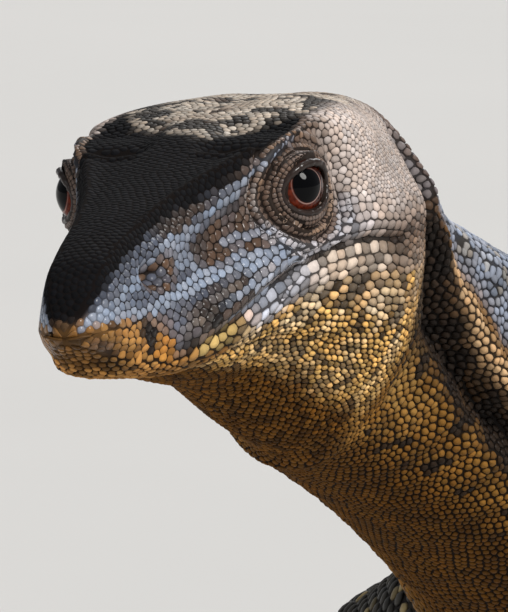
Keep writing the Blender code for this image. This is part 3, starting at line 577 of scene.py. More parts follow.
# distance from the snout, share round the head, reach of each, tone and strength
patches = (
    (23.3, 0.336, 5.6, 0.032, "rim", 0.95), (23.3, 0.338, 3.0, 0.017, "slate", 0.9),
    (36.0, 0.505, 4.0, 0.020, "snoutBlack", 0.6), (15.0, 0.500, 2.3, 0.075, "snoutBlack", 0.97),
    (5.8, 0.400, 1.6, 0.050, "snoutBlack", 0.7), (9.3, 0.700, 2.0, 0.050, "snoutBlack", 0.8),
    (3.0, 0.560, 2.4, 0.050, "brown", 0.7), (18.8, 0.556, 2.6, 0.050, "orange", 0.95),
    (21.0, 0.660, 2.0, 0.030, "orange", 0.8), (26.5, 0.600, 2.0, 0.060, "snoutBlack", 0.6),
    (36.0, 0.612, 5.8, 0.030, "yellow", 0.95), (46.0, 0.655, 4.0, 0.022, "yellow", 0.6),
    (40.5, 0.640, 1.8, 0.030, "snoutBlack", 0.5), (53.0, 0.690, 2.4, 0.020, "snoutBlack", 0.5),
)
# painted reflection: strands of bright blue-grey sheen on the wet snout's side, as places along and round, half width,
# strength
sheenStrands = (
    (((9.0, 0.318), (16.3, 0.318), (22.8, 0.306), (29.3, 0.308), (37.8, 0.316), (48.8, 0.311), (59.3, 0.289),
      (67.0, 0.262)), 0.012, 0.75),
    (((3.0, 0.315), (7.8, 0.345), (13.3, 0.372), (17.5, 0.398), (24.0, 0.392), (33.8, 0.398), (44.8, 0.440),
      (57.8, 0.492)), 0.025, 1.0),
    (((29.0, 0.330), (34.3, 0.345), (36.0, 0.385)), 0.030, 0.55),
    (((46.0, 0.375), (52.0, 0.392), (58.0, 0.420)), 0.013, 0.6),
    (((36.8, 0.495), (44.3, 0.507), (52.8, 0.535), (62.0, 0.545)), 0.014, 0.8),
    (((37.8, 0.548), (47.0, 0.580), (56.0, 0.595)), 0.014, 0.55),
)


def mixRows(low, high, share):
    return low * (1 - share[:, None]) + high * share[:, None]


def blendTone(colour, tone, share):
    return mixRows(colour, tones[tone], share)


def offStrand(s, v, line):
    # distance from a broken line on the head's side, in shares round it
    best = np.full(len(s), 9.0)
    for (s0, v0), (s1, v1) in zip(line[:-1], line[1:]):
        along, over = (s1 - s0) / 78.0, v1 - v0
        t = np.clip(((s - s0) / 78.0 * along + (v - v0) * over) / (along * along + over * over), 0.0, 1.0)
        best = np.minimum(best, np.hypot((s - s0) / 78.0 - t * along, v - v0 - t * over))
    return best


def readPlaces(s, w, points):
    # what the markings go by: height over the spine, the mouth's level, and noises from broad to fine
    place, _, up = spineFrame(s)
    return {"s": s, "w": w, "v": np.abs(w), "points": points, "z": ((points - place) * up).sum(-1),
            "mouth": column(headStations, 6, s), "wobble": layeredNoise(points, 16.0, 3) - 0.5,
            "blot": layeredNoise(points, 9.0, 21), "mottle": layeredNoise(points, 5.0, 31) - 0.5,
            "fleck": latticeNoise(points / 3.4, 11), "grit": latticeNoise(points / 1.9, 12)}


def coat(tone, mottle, spread=0.5):
    return tones[tone] * (1.0 + spread * mottle[:, None])


def trunkTone(s, v, wobble, fleck, mottle, **_):
    # dark grey with cross rows of pale rings and spots, pale belly
    colour = coat("back", mottle)
    rowPlace = (s - 330.0) / 52.0
    rowNear = np.abs(rowPlace - np.round(rowPlace)) * 52.0
    arc = v * np.interp(s, (300.0, 430.0, 745.0, 1100.0, 1770.0), (150.0, 175.0, 115.0, 80.0, 12.0))
    dotPlace = arc / 24.0 + 0.5 * (np.round(rowPlace) % 2)
    dotNear = np.abs(dotPlace - np.round(dotPlace)) * 24.0
    dots = fade(np.hypot(rowNear, dotNear) + 5.0 * wobble, 5.5, 8.5)
    dots = dots * ease(s, 285.0, 330.0) * fade(s, 760.0, 860.0)
    colour = blendTone(colour, "spot", dots * 0.85 * ease(fleck, 0.05, 0.3))
    specks = ease(fleck, 0.74, 0.86) * ease(s, 200.0, 300.0) * 0.55
    colour = blendTone(colour, "spot", specks * fade(s, 900.0, 1100.0))
    bandPitch = np.interp(s, (760.0, 1770.0), (74.0, 52.0))
    band = 0.5 + 0.5 * np.cos((s - 760.0) * 2 * math.pi / bandPitch + 1.5 * wobble)
    colour = blendTone(colour, "spot", ease(band, 0.62, 0.86) * ease(s, 770.0, 850.0) * 0.6)
    belly = ease(v + 0.12 * wobble, 0.66, 0.78) * ease(s, 240.0, 300.0)
    bars = ease(0.5 + 0.5 * np.cos(s * 2 * math.pi / 40.0 + 4 * wobble), 0.75, 0.9) * fade(v, 0.82, 0.95)
    return blendTone(colour, "belly", belly * (1.0 - 0.8 * bars))


def neckTone(s, v, points, wobble, blot, mottle, fleck, **_):
    # brown-gold beads with small black flecks in slanting rows, blue-grey above the fold
    # the neck's brown carries painted shade besides its own colour
    neck = mixRows(coat("neck", mottle, 0.9), coat("throat", mottle, 0.6), ease(v, 0.74, 0.90))
    # painted light: brighter gold beads on the lit part of the neck behind the jaw
    lit = bell(v, 0.72, 0.09) * bell(s, 122.0, 26.0)
    neck = mixRows(neck, coat("bead", mottle, 0.8), 0.6 * np.clip(lit * ease(blot + 0.3 * fleck, 0.5, 0.75), 0.0, 1.0))
    slant = 0.5 + 0.5 * np.cos((arcOf(s, v) + 0.55 * s + 9.0 * wobble) * 2 * math.pi / 9.0)
    flecked = ease(slant * 0.36 + 0.62 * latticeNoise(points / 2.5, 14), 0.70, 0.76)
    flecked = flecked * ease(s, 96.0, 122.0) * (1.0 - 0.75 * ease(v, 0.80, 0.92))
    neck = blendTone(neck, "neckDark", 0.94 * flecked)
    above = fade(v - foldLine(s) + 0.04 * wobble, -0.100, -0.072)
    above = np.where(s > 190.0, 1.0 - ease(v + 0.1 * wobble, 0.40, 0.56), above)
    top = mixRows(coat("greyBack", mottle, 0.8), coat("back", mottle, 0.8), ease(s, 150.0, 280.0))
    top = blendTone(top, "spot", ease(fleck, 0.66, 0.84) * 0.35)
    return mixRows(neck, top, above)


def sideTone(s, v, z, mouth, wobble, blot, mottle, fleck, grit, **_):
    # the head's sides, from the jaw up
    head = coat("bead", mottle, 0.7)
    head = blendTone(head, "cream", 0.75 * ease(fleck, 0.40, 0.62) * (1.0 - 0.6 * ease(v, 0.655, 0.70)))
    head = blendTone(head, "cheek", 0.5 * fade(v + 0.04 * wobble, 0.61, 0.66) * ease(blot, 0.4, 0.5))
    head = blendTone(head, "neckDark", ease(grit, 0.66, 0.78) * 0.85)
    crease = 0.55 * bell(v + 0.02 * wobble, 0.735, 0.010) * ease(s, 55.0, 66.0)
    head = blendTone(head, "neckDark", crease * fade(s, 94.0, 104.0) * ease(fleck, 0.3, 0.5))
    # the throat's brown, darkened partly as painted shade under the jaw
    head = mixRows(head, coat("throat", mottle, 0.7), ease(v + 0.05 * wobble, 0.75, 0.83))
    front = fade(s + 8 * wobble, 36.0, 50.0)
    lip = mixRows(coat("lipGrey", mottle, 0.5), coat("lipWarm", mottle, 0.6), ease(s + 8 * wobble, 62.0, 76.0))
    lip = mixRows(lip, coat("tan", mottle, 0.9), front)
    head = mixRows(head, lip, ease(z - mouth, -6.5, -4.5))
    streak = layeredNoise(np.stack((s / 8.0, v * 78.0 / 1.9, 0.0 * s), -1), 1.0, 71, 2)
    upper = mixRows(coat("slate", mottle, 1.2), coat("loreal", mottle, 1.2), ease(s, 24.0, 30.0))
    low = ease(v + 0.03 * wobble, 0.435, 0.475)
    upper = blendTone(upper, "slate", 0.8 * ease(streak, 0.48, 0.62) * (1.0 - 0.75 * low))
    upper = blendTone(upper, "taupe", 0.75 * low * ease(streak, 0.40, 0.58) * ease(s, 20.0, 28.0))
    upper = mixRows(upper, coat("cheek", mottle, 0.6), ease(s + 7 * wobble, 56.0, 84.0))
    upper = blendTone(upper, "brown", ease(blot, 0.50, 0.64) * 0.75 * ease(s, 24.0, 34.0) * fade(s, 70.0, 92.0))
    lipPlates = 0.85 * bell(z - mouth, 3.0, 2.6) * ease(s, 42.0, 56.0)
    upper = blendTone(upper, "lipGrey", lipPlates * fade(s, 82.0, 90.0) * ease(streak, 0.28, 0.46))
    # painted shade: the temple darkens towards its rear
    temple = coat("temple", mottle, 0.35) * (1.0 - 0.25 * ease(s + 6 * wobble, 90.0, 104.0)[:, None])
    upper = mixRows(upper, temple, ease(s + 5 * wobble, 76.0, 86.0) * ease(z + 4 * wobble, 2.0, 8.0))
    ring = eyeRing(s, z)
    lids = fade(ring + 2 * mottle, 11.5, 14.5) * (1.0 - behindEye(s, z) * ease(ring, 7.0, 8.5))
    crest = ease(foldWave(ring, z), 0.0, 0.9)
    upper = blendTone(upper, "lid", lids * 0.9)
    upper = blendTone(upper, "brown", lids * (1.0 - crest) * 0.6)
    # painted highlight: pale scales on the crests of the folds round the eye
    upper = blendTone(upper, "crestHighlight", lids * crest * ease(fleck, 0.25, 0.6) * ease(ring, 6.5, 7.5) * 0.5)
    bag = 0.6 * lids * ease(ring, 6.2, 7.2) * fade(ring, 9.2, 10.4)
    upper = blendTone(upper, "bag", bag * ease(crest, 0.1, 0.6))
    lowFold = lids * ease(ring + mottle, 9.0, 10.4) * ease(eyeLook["height"] - z, 3.0, 6.0)
    upper = blendTone(upper, "lipGrey", 0.75 * lowFold * ease(streak + 0.3 * fleck, 0.25, 0.5))
    tip = fade(s + 5 * wobble, 11.0, 24.0) * fade(z - mouth, 5.5, 9.5)
    upper = mixRows(upper, coat("tan", mottle, 0.9), tip)
    head = mixRows(head, upper, ease(z - mouth, -0.6, 0.8))
    # painted shade: a dark brown over the front of the snout's tip, round and below the mouth
    head = blendTone(head, "tipShade", 0.65 * fade(s + 5 * wobble, 1.0, 9.0) * fade(z - mouth, 4.0, 8.0))
    head = blendTone(head, "brown", 0.88 * ease(s, 88.0, 100.0) * bell(v, 0.58, 0.065) * ease(fleck + 0.4 * grit, 0.2, 0.45))
    # painted shade: a dark line along the mouth's crease
    mouthShade = 0.95 * bell(z - mouth, 0.0, 0.62) * ease(s, 20.0, 36.0)
    head = blendTone(head, "gap", mouthShade * fade(s, mouthCorner, mouthCorner + 3.0))
    # painted reflection: blue sheen laid along each strand
    for line, wide, strength in sheenStrands:
        near = offStrand(s, v, line) / wide + 1.0 * (streak - 0.5) + 0.8 * mottle
        head = blendTone(head, "blue", strength * fade(near, 0.45, 1.25) * (0.7 + 0.6 * streak))
    for at, share, along, across, tone, strength in patches:
        apart = np.hypot((s - at) / along, (v - share) / across) + 1.1 * wobble + 0.8 * mottle
        head = blendTone(head, tone, strength * fade(apart, 0.72, 1.12))
    return head


def paintBody(s, w, points):
    # colour and roughness of places on head, trunk and tail
    at = readPlaces(s, w, points)
    v, z, mouth, wobble, blot, mottle, fleck, grit = (
        at[key] for key in ("v", "z", "mouth", "wobble", "blot", "mottle", "fleck", "grit"))
    colour = mixRows(neckTone(**at), trunkTone(**at), ease(s, 262.0, 330.0))
    head = sideTone(**at)
    # snout top: black down to the ridge, partly its own colour and partly painted shade; crown: sandy with black flecks
    edge = np.interp(s, (0.0, 5.0, 10.0, 26.0, 33.0, 43.0, 54.0, 60.0, 67.0, 73.0, 80.0),
                     (0.28, 0.275, 0.275, 0.272, 0.277, 0.292, 0.283, 0.268, 0.238, 0.200, 0.185))
    edge = edge + 0.02 * wobble + 0.012 * mottle
    onTop = fade(v, edge - 0.014, edge + 0.010) * ease(z, 1.0, 4.0)
    back = np.interp(w, (-0.30, -0.22, -0.16, -0.12, -0.03, 0.03, 0.07, 0.10, 0.165, 0.20),
                     (104.0, 101.0, 88.0, 78.0, 69.0, 66.0, 71.0, 75.0, 82.0, 91.0)) + 9 * wobble + 3 * mottle
    # painted light and shade: the crown is lighter on the left side and darker on the right
    crown = coat("crown", mottle, 0.5) * np.interp(w, (-0.10, 0.06), (0.72, 1.08))[:, None]
    cover = 0.45 + 0.17 * ease(s - back, 2.0, 26.0)
    crown = blendTone(crown, "snoutBlack", ease(0.6 * fleck + 0.4 * grit, cover - 0.06, cover + 0.03) * 0.92)
    crown = blendTone(crown, "brown", ease(blot, 0.56, 0.7) * 0.35)
    topTone = mixRows(coat("snoutBlack", mottle), crown, ease(s - back, -2.5, 1.5))
    behind = ease(s, 78.0, 92.0)
    head = mixRows(head, topTone, onTop * (1 - behind) + behind * fade(v + 0.03 * wobble, 0.15, 0.24))
    # ear, and painted shadow in the cleft of the fold behind the jaw
    ear = earRing(s, z)
    headShare = fade(s + 16 * (v - 0.5) + 6 * wobble, 110.0, 124.0)
    colour = mixRows(colour, head, headShare)
    colour = blendTone(colour, "rim", 0.85 * bell(ear, 1.35, 0.3) * ease(s, 117.0, 121.0))
    colour = blendTone(colour, "ear", 1.0 - ease(ear, 0.8, 1.1))
    cleft = np.interp(v, (0.30, 0.45, 0.51, 0.55, 0.575, 0.61), (119.0, 121.0, 125.0, 132.0, 143.0, 156.0))
    cleft = cleft + 7 * wobble + 4 * mottle
    shadow = ease(s, 112.0, 117.0) * fade(s - cleft, -3.5, 1.5) * ease(v, 0.26, 0.36) * fade(v, 0.64, 0.72)
    colour = blendTone(colour, "neckDark", shadow * (0.82 + 0.12 * ease(fleck, 0.3, 0.5)))
    colour = blendTone(colour, "rim", 0.6 * bell(s, 134.0, 9.0) * bell(v, 0.53, 0.09) * ease(blot, 0.30, 0.5))
    along = ease(s, 110.0, 122.0) * fade(s, 185.0, 225.0)
    off = v - foldLine(s) + 0.02 * wobble + 0.012 * mottle - 0.024 * ease(s, 142.0, 160.0)
    colour = blendTone(colour, "rim", 0.7 * bell(off, -0.055, 0.05) * along)
    broken = ease(blot + 0.2 * fleck + 0.25 * ease(s, 148.0, 160.0), 0.38, 0.62)
    colour = blendTone(colour, "flap", bell(off, -0.072, 0.017) * along * ease(s, 128.0, 140.0) * broken)
    # painted shade in the groove of the neck's fold
    foldShade = ease(off, -0.064, -0.046) * fade(off, 0.015, 0.045) * along
    colour = blendTone(colour, "neckDark", foldShade * (0.97 - 0.30 * ease(blot, 0.5, 0.65) * ease(fleck, 0.3, 0.6)))
    dull = headShare * np.clip(onTop * fade(s - back, -2.5, 1.5), 0.0, 1.0)
    sheen = headShare * np.clip((1.0 - onTop) * ease(z - mouth, 0.0, 2.0) * fade(s, 60.0, 84.0), 0.0, 1.0)
    bead = headShare * ease(v, 0.50, 0.58) * fade(v, 0.74, 0.82) * ease(s, 30.0, 50.0)
    rough = 0.50 + 0.12 * mottle + 0.06 * headShare - 0.20 * sheen + 0.34 * dull - 0.16 * bead
    rough = rough + 0.22 * ease(v, 0.74, 0.84) * fade(s, 240.0, 300.0)
    return np.clip(colour, 0.0, 1.0), np.clip(rough, 0.2, 0.9)


def arcOf(s, v):
    # distance round the neck from its top, in mm
    return v * np.interp(s, (90.0, 134.0, 198.0, 300.0), (78.0, 92.0, 96.0, 128.0))


def paintLimb(s, w, points):
    fleck = latticeNoise(points / 4.6, 17)
    mottle = layeredNoise(points, 6.0, 41) - 0.5
    colour = np.tile(tones["limb"], (len(s), 1)) * (1.0 + 0.7 * mottle[:, None])
    colour = blendTone(colour, "spot", ease(fleck, 0.66, 0.76) * 0.8)
    under = ease(-points[:, 2] + 9.0 * mottle, -7.0, -3.0)
    colour = blendTone(colour, "belly", under * 0.5)
    return np.clip(colour, 0.0, 1.0), 0.5 + 0.1 * mottle


def paint(sheet, s, w, points):
    return (paintBody if sheet.name == "body" else paintLimb)(s, w, points)


class Wire:
    # a socket that can be added, multiplied and mixed like a number
    def __init__(self, tree, socket):
        self.tree, self.socket = tree, socket

    def math(self, operation, *others):
        return add(self.tree, "ShaderNodeMath", {"operation": operation}, (self, *others))

    def __add__(self, other):
        return self.math("ADD", other)

    def __radd__(self, other):
        return self.math("ADD", other)

    def __mul__(self, other):
        return self.math("MULTIPLY", other)

    def __rmul__(self, other):
        return self.math("MULTIPLY", other)

    def __sub__(self, other):
        return self.math("SUBTRACT", other)

    def __rsub__(self, other):
        return add(self.tree, "ShaderNodeMath", {"operation": "SUBTRACT"}, (other, self))


def add(tree, kind, settings=(), values=(), output=0):
    # any node: its settings, then its socket values or the wires that feed them
    node = tree.nodes.new(kind)
    for key, value in dict(settings).items():
        setattr(node, key, value)
    for key, value in (values.items() if isinstance(values, dict) else enumerate(values)):
        if isinstance(value, Wire):
            tree.links.new(value.socket, node.inputs[key])
        else:
            node.inputs[key].default_value = value
    return Wire(tree, node.outputs[output])


def blank(name):
    material = bpy.data.materials.new(name)
    material.use_nodes = True
    return material, material.node_tree, material.node_tree.nodes["Principled BSDF"]


def feed(tree, shader, wires, values=()):
    for key, wire in wires.items():
        tree.links.new(wire.socket, shader.inputs[key])
    for key, value in dict(values).items():
        shader.inputs[key].default_value = value


def noise(tree, place, scale, detail):
    return add(tree, "ShaderNodeTexNoise", values={"Vector": place, "Scale": scale, "Detail": detail})


def mark(tree, name, output=0):
    # the marks that a mesh carries at its vertices; output 2 reads them as a number
    return add(tree, "ShaderNodeAttribute", {"attribute_name": name}, output=output)


def toned(name, scale, detail):
    # a material that reads the tone marks, with its place and a fine grain
    material, tree, shader = blank(name)
    place = add(tree, "ShaderNodeTexCoord", output=3)
    return material, tree, shader, place, mark(tree, "tone"), noise(tree, place, scale, detail)


coatLook = {"grain": 1400.0, "pits": 3200.0, "bump": 0.35, "depth": 0.00012, "tint": 0.22}


def coatMaterial():
    material, tree, shader, place, tone, grain = toned("monitor_coat", coatLook["grain"], 3.0)
    gloss, wet = mark(tree, "gloss", 2), mark(tree, "wet", 2)
    pits = noise(tree, place, coatLook["pits"], 2.0)
    shade = 1.0 + (grain - 0.5) * coatLook["tint"] * 2.0
    colour = add(tree, "ShaderNodeVectorMath", {"operation": "SCALE"}, {0: tone, 3: shade})
    height = grain * 0.6 + pits * 0.4
    bump = add(tree, "ShaderNodeBump", values={"Strength": coatLook["bump"], "Distance": coatLook["depth"], "Height": height})
    rough = gloss + (pits - 0.5) * 0.16
    feed(tree, shader, {"Base Color": colour, "Roughness": rough, "Coat Weight": wet * 0.7, "Normal": bump},
         {"Coat Roughness": 0.16, "IOR": 1.45, "Specular IOR Level": 0.12})
    return material


def newObject(name, data):
    made = bpy.data.objects.new(name, data)
    bpy.context.scene.collection.objects.link(made)
    return made


def meshPiece(name, points, faces, material, attributes=(), corners=None):
    # points in mm before the move over the origin, faces as an integer array of triangles or quads
    mesh = bpy.data.meshes.new(name)
    flat = np.ascontiguousarray((points + moved) * mm, dtype=np.float32)
    mesh.vertices.add(len(flat))
    mesh.vertices.foreach_set("co", flat.ravel())
    sides = faces.shape[1]
    mesh.loops.add(faces.size)
    mesh.loops.foreach_set("vertex_index", faces.ravel().astype(np.int32))
    mesh.polygons.add(len(faces))
    mesh.polygons.foreach_set("loop_start", np.arange(0, faces.size, sides, dtype=np.int32))
    mesh.update(calc_edges=True)
    mesh.validate()
    mesh.shade_smooth()
    dress(mesh, dict(attributes), corners)
    mesh.materials.append(material)
    piece = newObject(name, mesh)
    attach(piece, "root")
    return piece


def dress(mesh, attributes, corners=None):
    for key, values in attributes.items():
        values = np.asarray(values, np.float32)
        if values.ndim > 1:
            layer = mesh.color_attributes.new(key, "FLOAT_COLOR", "POINT")
            layer.data.foreach_set("color", np.concatenate((values, np.ones((len(values), 1))), 1).astype(np.float32).ravel())
        else:
            mesh.attributes.new(key, "FLOAT", "POINT").data.foreach_set("value", values)
    if corners is not None:
        mesh.uv_layers.new(name="OFBake").data.foreach_set("uv", np.asarray(corners, np.float32).ravel())


def tubeFaces(rings, count):
    i, j = np.meshgrid(np.arange(rings - 1), np.arange(count), indexing="ij")
    k = (j + 1) % count
    return np.stack((i * count + j, i * count + k, (i + 1) * count + k, (i + 1) * count + j), -1).reshape(-1, 4)


def withHubs(grid):
    # a tube's points and the middle of each of its ends
    return np.concatenate((grid.reshape(-1, 3), grid[0].mean(0)[None], grid[-1].mean(0)[None]))


def halved(quads):
    return np.concatenate((quads[:, (0, 1, 2)], quads[:, (0, 2, 3)]))


def cappedFaces(rings, count):
    # triangles of a tube and of the fans to the two points that close it
    j, hub = np.arange(count), rings * count
    k, last = (j + 1) % count, (rings - 1) * count
    return np.concatenate((halved(tubeFaces(rings, count)), np.stack((j, np.full(count, hub), k), -1),
                           np.stack((last + k, np.full(count, hub + 1), last + j), -1)))


def facingOut(points, faces, inside):
    # faces turned away from a place inside them, or from one place for each face
    a, b, c = (points[faces[:, k]] for k in range(3))
    outward = ((a - inside) * np.cross(b - a, c - a)).sum(-1).mean()
    return faces[:, ::-1] if outward < 0 else faces


def closedTube(name, grid):
    # a plain mesh object of a tube with a fan at each end, in metres
    rings, count = grid.shape[:2]
    points = withHubs(grid)
    faces = [tuple(face) for face in tubeFaces(rings, count)]
    for last, hub in ((0, rings * count), ((rings - 1) * count, rings * count + 1)):
        faces += [(last + j, last + (j + 1) % count, hub) for j in range(count)]
    mesh = bpy.data.meshes.new(name)
    mesh.from_pydata(((points + moved) * mm).tolist(), [], faces)
    work = bmesh.new()
    work.from_mesh(mesh)
    bmesh.ops.recalc_face_normals(work, faces=work.faces)
    work.to_mesh(mesh)
    work.free()
    return newObject(name, mesh)


def readPoints(mesh):
    flat = np.empty(len(mesh.vertices) * 3, np.float32)
    mesh.vertices.foreach_get("co", flat)
    return flat.reshape(-1, 3).astype(float) / mm - moved


def joinSkin(sheets):
    # trunk and limbs made one closed skin
    body = closedTube("skin", sheets[0].grid)
    limbs = bpy.data.collections.new("limbTubes")
    bpy.context.scene.collection.children.link(limbs)
    for sheet in sheets[1:]:
        tube = closedTube(sheet.name, sheet.grid)
        bpy.context.scene.collection.objects.unlink(tube)
        limbs.objects.link(tube)
    join = body.modifiers.new("join", "BOOLEAN")
    join.operation, join.solver, join.operand_type, join.collection = "UNION", "MANIFOLD", "COLLECTION", limbs
    bpy.context.view_layer.update()
    mesh = bpy.data.meshes.new_from_object(body.evaluated_get(bpy.context.evaluated_depsgraph_get()))
    body.modifiers.clear()
    body.data = mesh
    for tube in list(limbs.objects):
        bpy.data.objects.remove(tube)
    bpy.data.collections.remove(limbs)
    work = bmesh.new()
    work.from_mesh(mesh)
    bmesh.ops.triangulate(work, faces=work.faces)
    work.to_mesh(mesh)
    work.free()
    return body


def treeOf(points):
    tree = KDTree(len(points))
    for i, p in enumerate(points):
        tree.insert(p, i)
    tree.balance()
    return tree


def softenJoins(skin, sheets):
    # rounds the crease where each leg meets the trunk
    mesh = skin.data
    points = readPoints(mesh)
    edges = np.empty(len(mesh.edges) * 2, np.int32)
    mesh.edges.foreach_get("vertices", edges)
    edges = edges.reshape(-1, 2)
    seam = joinLine(points, sheets)
    if not len(seam):
        return
    tree = treeOf(seam)
    low, high = seam.min(0) - 30.0, seam.max(0) + 30.0
    near = np.flatnonzero(((points > low) & (points < high)).all(1))
    weight = np.zeros(len(points))
    for i in near:
        weight[i] = tree.find(points[i])[2]
    weight[near] = fade(weight[near], 3.0, 20.0)
    degree = np.bincount(edges.ravel(), minlength=len(points)).astype(float)[:, None]
    for _ in range(24):
        total = np.zeros_like(points)
        for k in range(3):
            total[:, k] = (np.bincount(edges[:, 0], points[edges[:, 1], k], len(points))
                           + np.bincount(edges[:, 1], points[edges[:, 0], k], len(points)))
        points += (total / np.maximum(degree, 1.0) - points) * (0.6 * weight)[:, None]
    points[:, 2] = np.maximum(points[:, 2], 0.0)
    mesh.vertices.foreach_set("co", ((points + moved) * mm).astype(np.float32).ravel())
    mesh.update()


def joinLine(points, sheets):
    # the skin's vertices that lie on no sheet's grid are where two sheets cross; kept near the trunk only
    tree = treeOf(np.concatenate([sheet.grid.reshape(-1, 3) for sheet in sheets]))
    place = spinePlace(np.linspace(280.0, 780.0, 60))
    found = []
    box = np.abs(points[:, 0]) < 120
    for i in np.flatnonzero(box & (points[:, 2] > 45.0)):
        if tree.find(points[i])[2] > 0.02 and np.linalg.norm(place - points[i], axis=1).min() < 95.0:
            found.append(points[i])
    return np.array(found).reshape(-1, 3)


def paintPlaces(points, sheets):
    # colour, roughness and unwrap of the nearest place on the sheets
    trees = treeOf(np.concatenate([sheet.grid.reshape(-1, 3) for sheet in sheets]))
    starts = np.cumsum([0] + [sheet.grid.shape[0] * sheet.count for sheet in sheets])
    nearest = np.array([trees.find(p)[1] for p in points])
    owner = np.searchsorted(starts, nearest, side="right") - 1
    local = nearest - starts[owner]
    tone, gloss = np.zeros((len(points), 3)), np.zeros(len(points))
    uv, wide = np.zeros((len(points), 2)), np.zeros(len(points))
    for k, sheet in enumerate(sheets):
        mine = owner == k
        if not mine.any():
            continue
        s = sheet.rows[local[mine] // sheet.count]
        w = (local[mine] % sheet.count) / sheet.count * 2 - 1
        tone[mine], gloss[mine] = paint(sheet, s, w, points[mine])
        uv[mine] = sheet.unwrap(s, w)
        wide[mine] = sheet.uvBox[3] - sheet.uvBox[1]
    return tone, gloss, uv, wide, owner


def paintSkin(skin, sheets, material):
    # each vertex takes the marks of the nearest place on the sheets
    mesh = skin.data
    points = readPoints(mesh)
    tone, gloss, uv, wide, owner = paintPlaces(points, sheets)
    wet = np.zeros(len(points))
    low = ease(np.abs(tone[:, 0] - tone[:, 2]) / np.maximum(tone[:, 0], 0.01), 0.35, 0.6)[:, None]
    tip = fade(points[:, 1] - points[:, 1].min(), 6.0, 12.0)[:, None]
    tone = tone * (0.11 - 0.06 * low + 0.4 * tip) + tones["gap"] * 0.35
    dress(mesh, {"tone": tone, "gloss": gloss + 0.12, "wet": wet})
    loops = np.empty(len(mesh.loops), np.int32)
    mesh.loops.foreach_get("vertex_index", loops)
    corners = uv[loops].reshape(-1, 3, 2)
    # a face across the tube's seam keeps its own width, and one between two sheets stays on the first
    face = owner[loops].reshape(-1, 3)
    mixed = (face != face[:, :1]).any(1)
    corners[mixed] = corners[mixed][:, :1]
    span = corners[..., 1].max(1) - corners[..., 1].min(1)
    reach = wide[loops].reshape(-1, 3)[:, 0]
    over = span > reach * 0.5
    lowSide = corners[..., 1] < (corners[..., 1].min(1) + reach * 0.5)[:, None]
    corners[..., 1] += np.where(over[:, None] & lowSide, reach[:, None], 0.0)
    mesh.uv_layers.new(name="OFBake").data.foreach_set("uv", corners.astype(np.float32).ravel())
    mesh.materials.clear()
    mesh.materials.append(material)
    mesh.shade_smooth()


# sizes of the scales by place, in mm
scaleLook = {
    "snoutTop": 1.35, "crown": 1.4, "side": 1.75, "cheek": 2.1, "temple": 1.0, "jaw": 1.6, "throat": 1.6,
    "neck": 1.9, "nape": 2.2,
    "lidRows": ((0.09, 0.75), (0.20, 0.8), (0.31, 0.85), (0.43, 0.9), (0.55, 0.95), (0.68, 1.0)),
    "eyeRings": ((6.6, 1.0), (7.5, 1.1), (8.35, 1.1), (9.2, 1.15), (10.0, 1.2), (10.8, 1.2), (11.6, 1.2),
                 (12.4, 1.25), (13.2, 1.3)),
    "lipRows": ((1.15, 0.80), (2.85, 0.92), (-1.2, 1.02), (-3.2, 1.14)), "lipGap": 2.2,
    # dome shades: a dark rim, partly painted shade between the domes, and a top lightened as a painted highlight
    "rim": 0.10, "ringShade": 0.95, "topHighlight": 1.06, "patch": 0.0015,
    "headCap": 0.80, "bodyCap": 0.64, "mostPerPiece": 180000.0,
}


def scaleSize(s, w):
    v = np.abs(w)
    size = np.interp(s, (0.0, 12.0, 55.0, 75.0), (1.4, scaleLook["snoutTop"], scaleLook["snoutTop"], scaleLook["crown"]))
    sideShare = ease(v, 0.24, 0.30)
    sideSize = np.interp(s, (0.0, 10.0, 30.0, 70.0), (1.4, 1.6, scaleLook["side"], scaleLook["cheek"]))
    size = size * (1 - sideShare) + sideSize * sideShare
    temple = ease(s, 74.0, 80.0) * fade(s, 114.0, 124.0) * ease(v, 0.16, 0.22) * fade(v, 0.42, 0.50)
    fine = scaleLook["temple"] + 0.5 * fade(s, 84.0, 93.0)
    size = size * (1 - temple) + fine * temple
    low = ease(v, 0.50, 0.56)
    jawRow = 0.75 * bell(v, 0.622, 0.030) * fade(s, 96.0, 108.0) * ease(s, 30.0, 50.0)
    jaw = scaleLook["jaw"] + jawRow + 0.3 * bell(v, 0.53, 0.03)
    size = size * (1 - low) + jaw * low
    throat = ease(v, 0.72, 0.80)
    size = size * (1 - throat) + scaleLook["throat"] * throat
    neck = ease(s, 112.0, 132.0)
    neckSize = scaleLook["nape"] + (scaleLook["neck"] - scaleLook["nape"]) * ease(v, 0.3, 0.5)
    neckSize = neckSize * (1.0 - 0.18 * ease(v, 0.74, 0.86))
    size = size * (1 - neck) + neckSize * neck
    return size * (1.0 + 0.25 * ease(s, 190.0, 240.0) + 0.45 * ease(s, 230.0, 300.0))


def scaleStretch(sheet, s, w):
    # how much longer than high a scale is
    if sheet.name != "body":
        return np.ones(len(s))
    v = np.abs(w)
    side = 1.0 + 0.25 * ease(v, 0.24, 0.32) + 0.2 * ease(s, 76.0, 86.0) * ease(v, 0.24, 0.32)
    jaw = ease(v, 0.48, 0.54) * fade(v, 0.76, 0.84) * ease(s, 22.0, 42.0)
    side = side + (1.9 - side) * jaw
    return side + (1.3 - side) * ease(s, 104.0, 120.0)


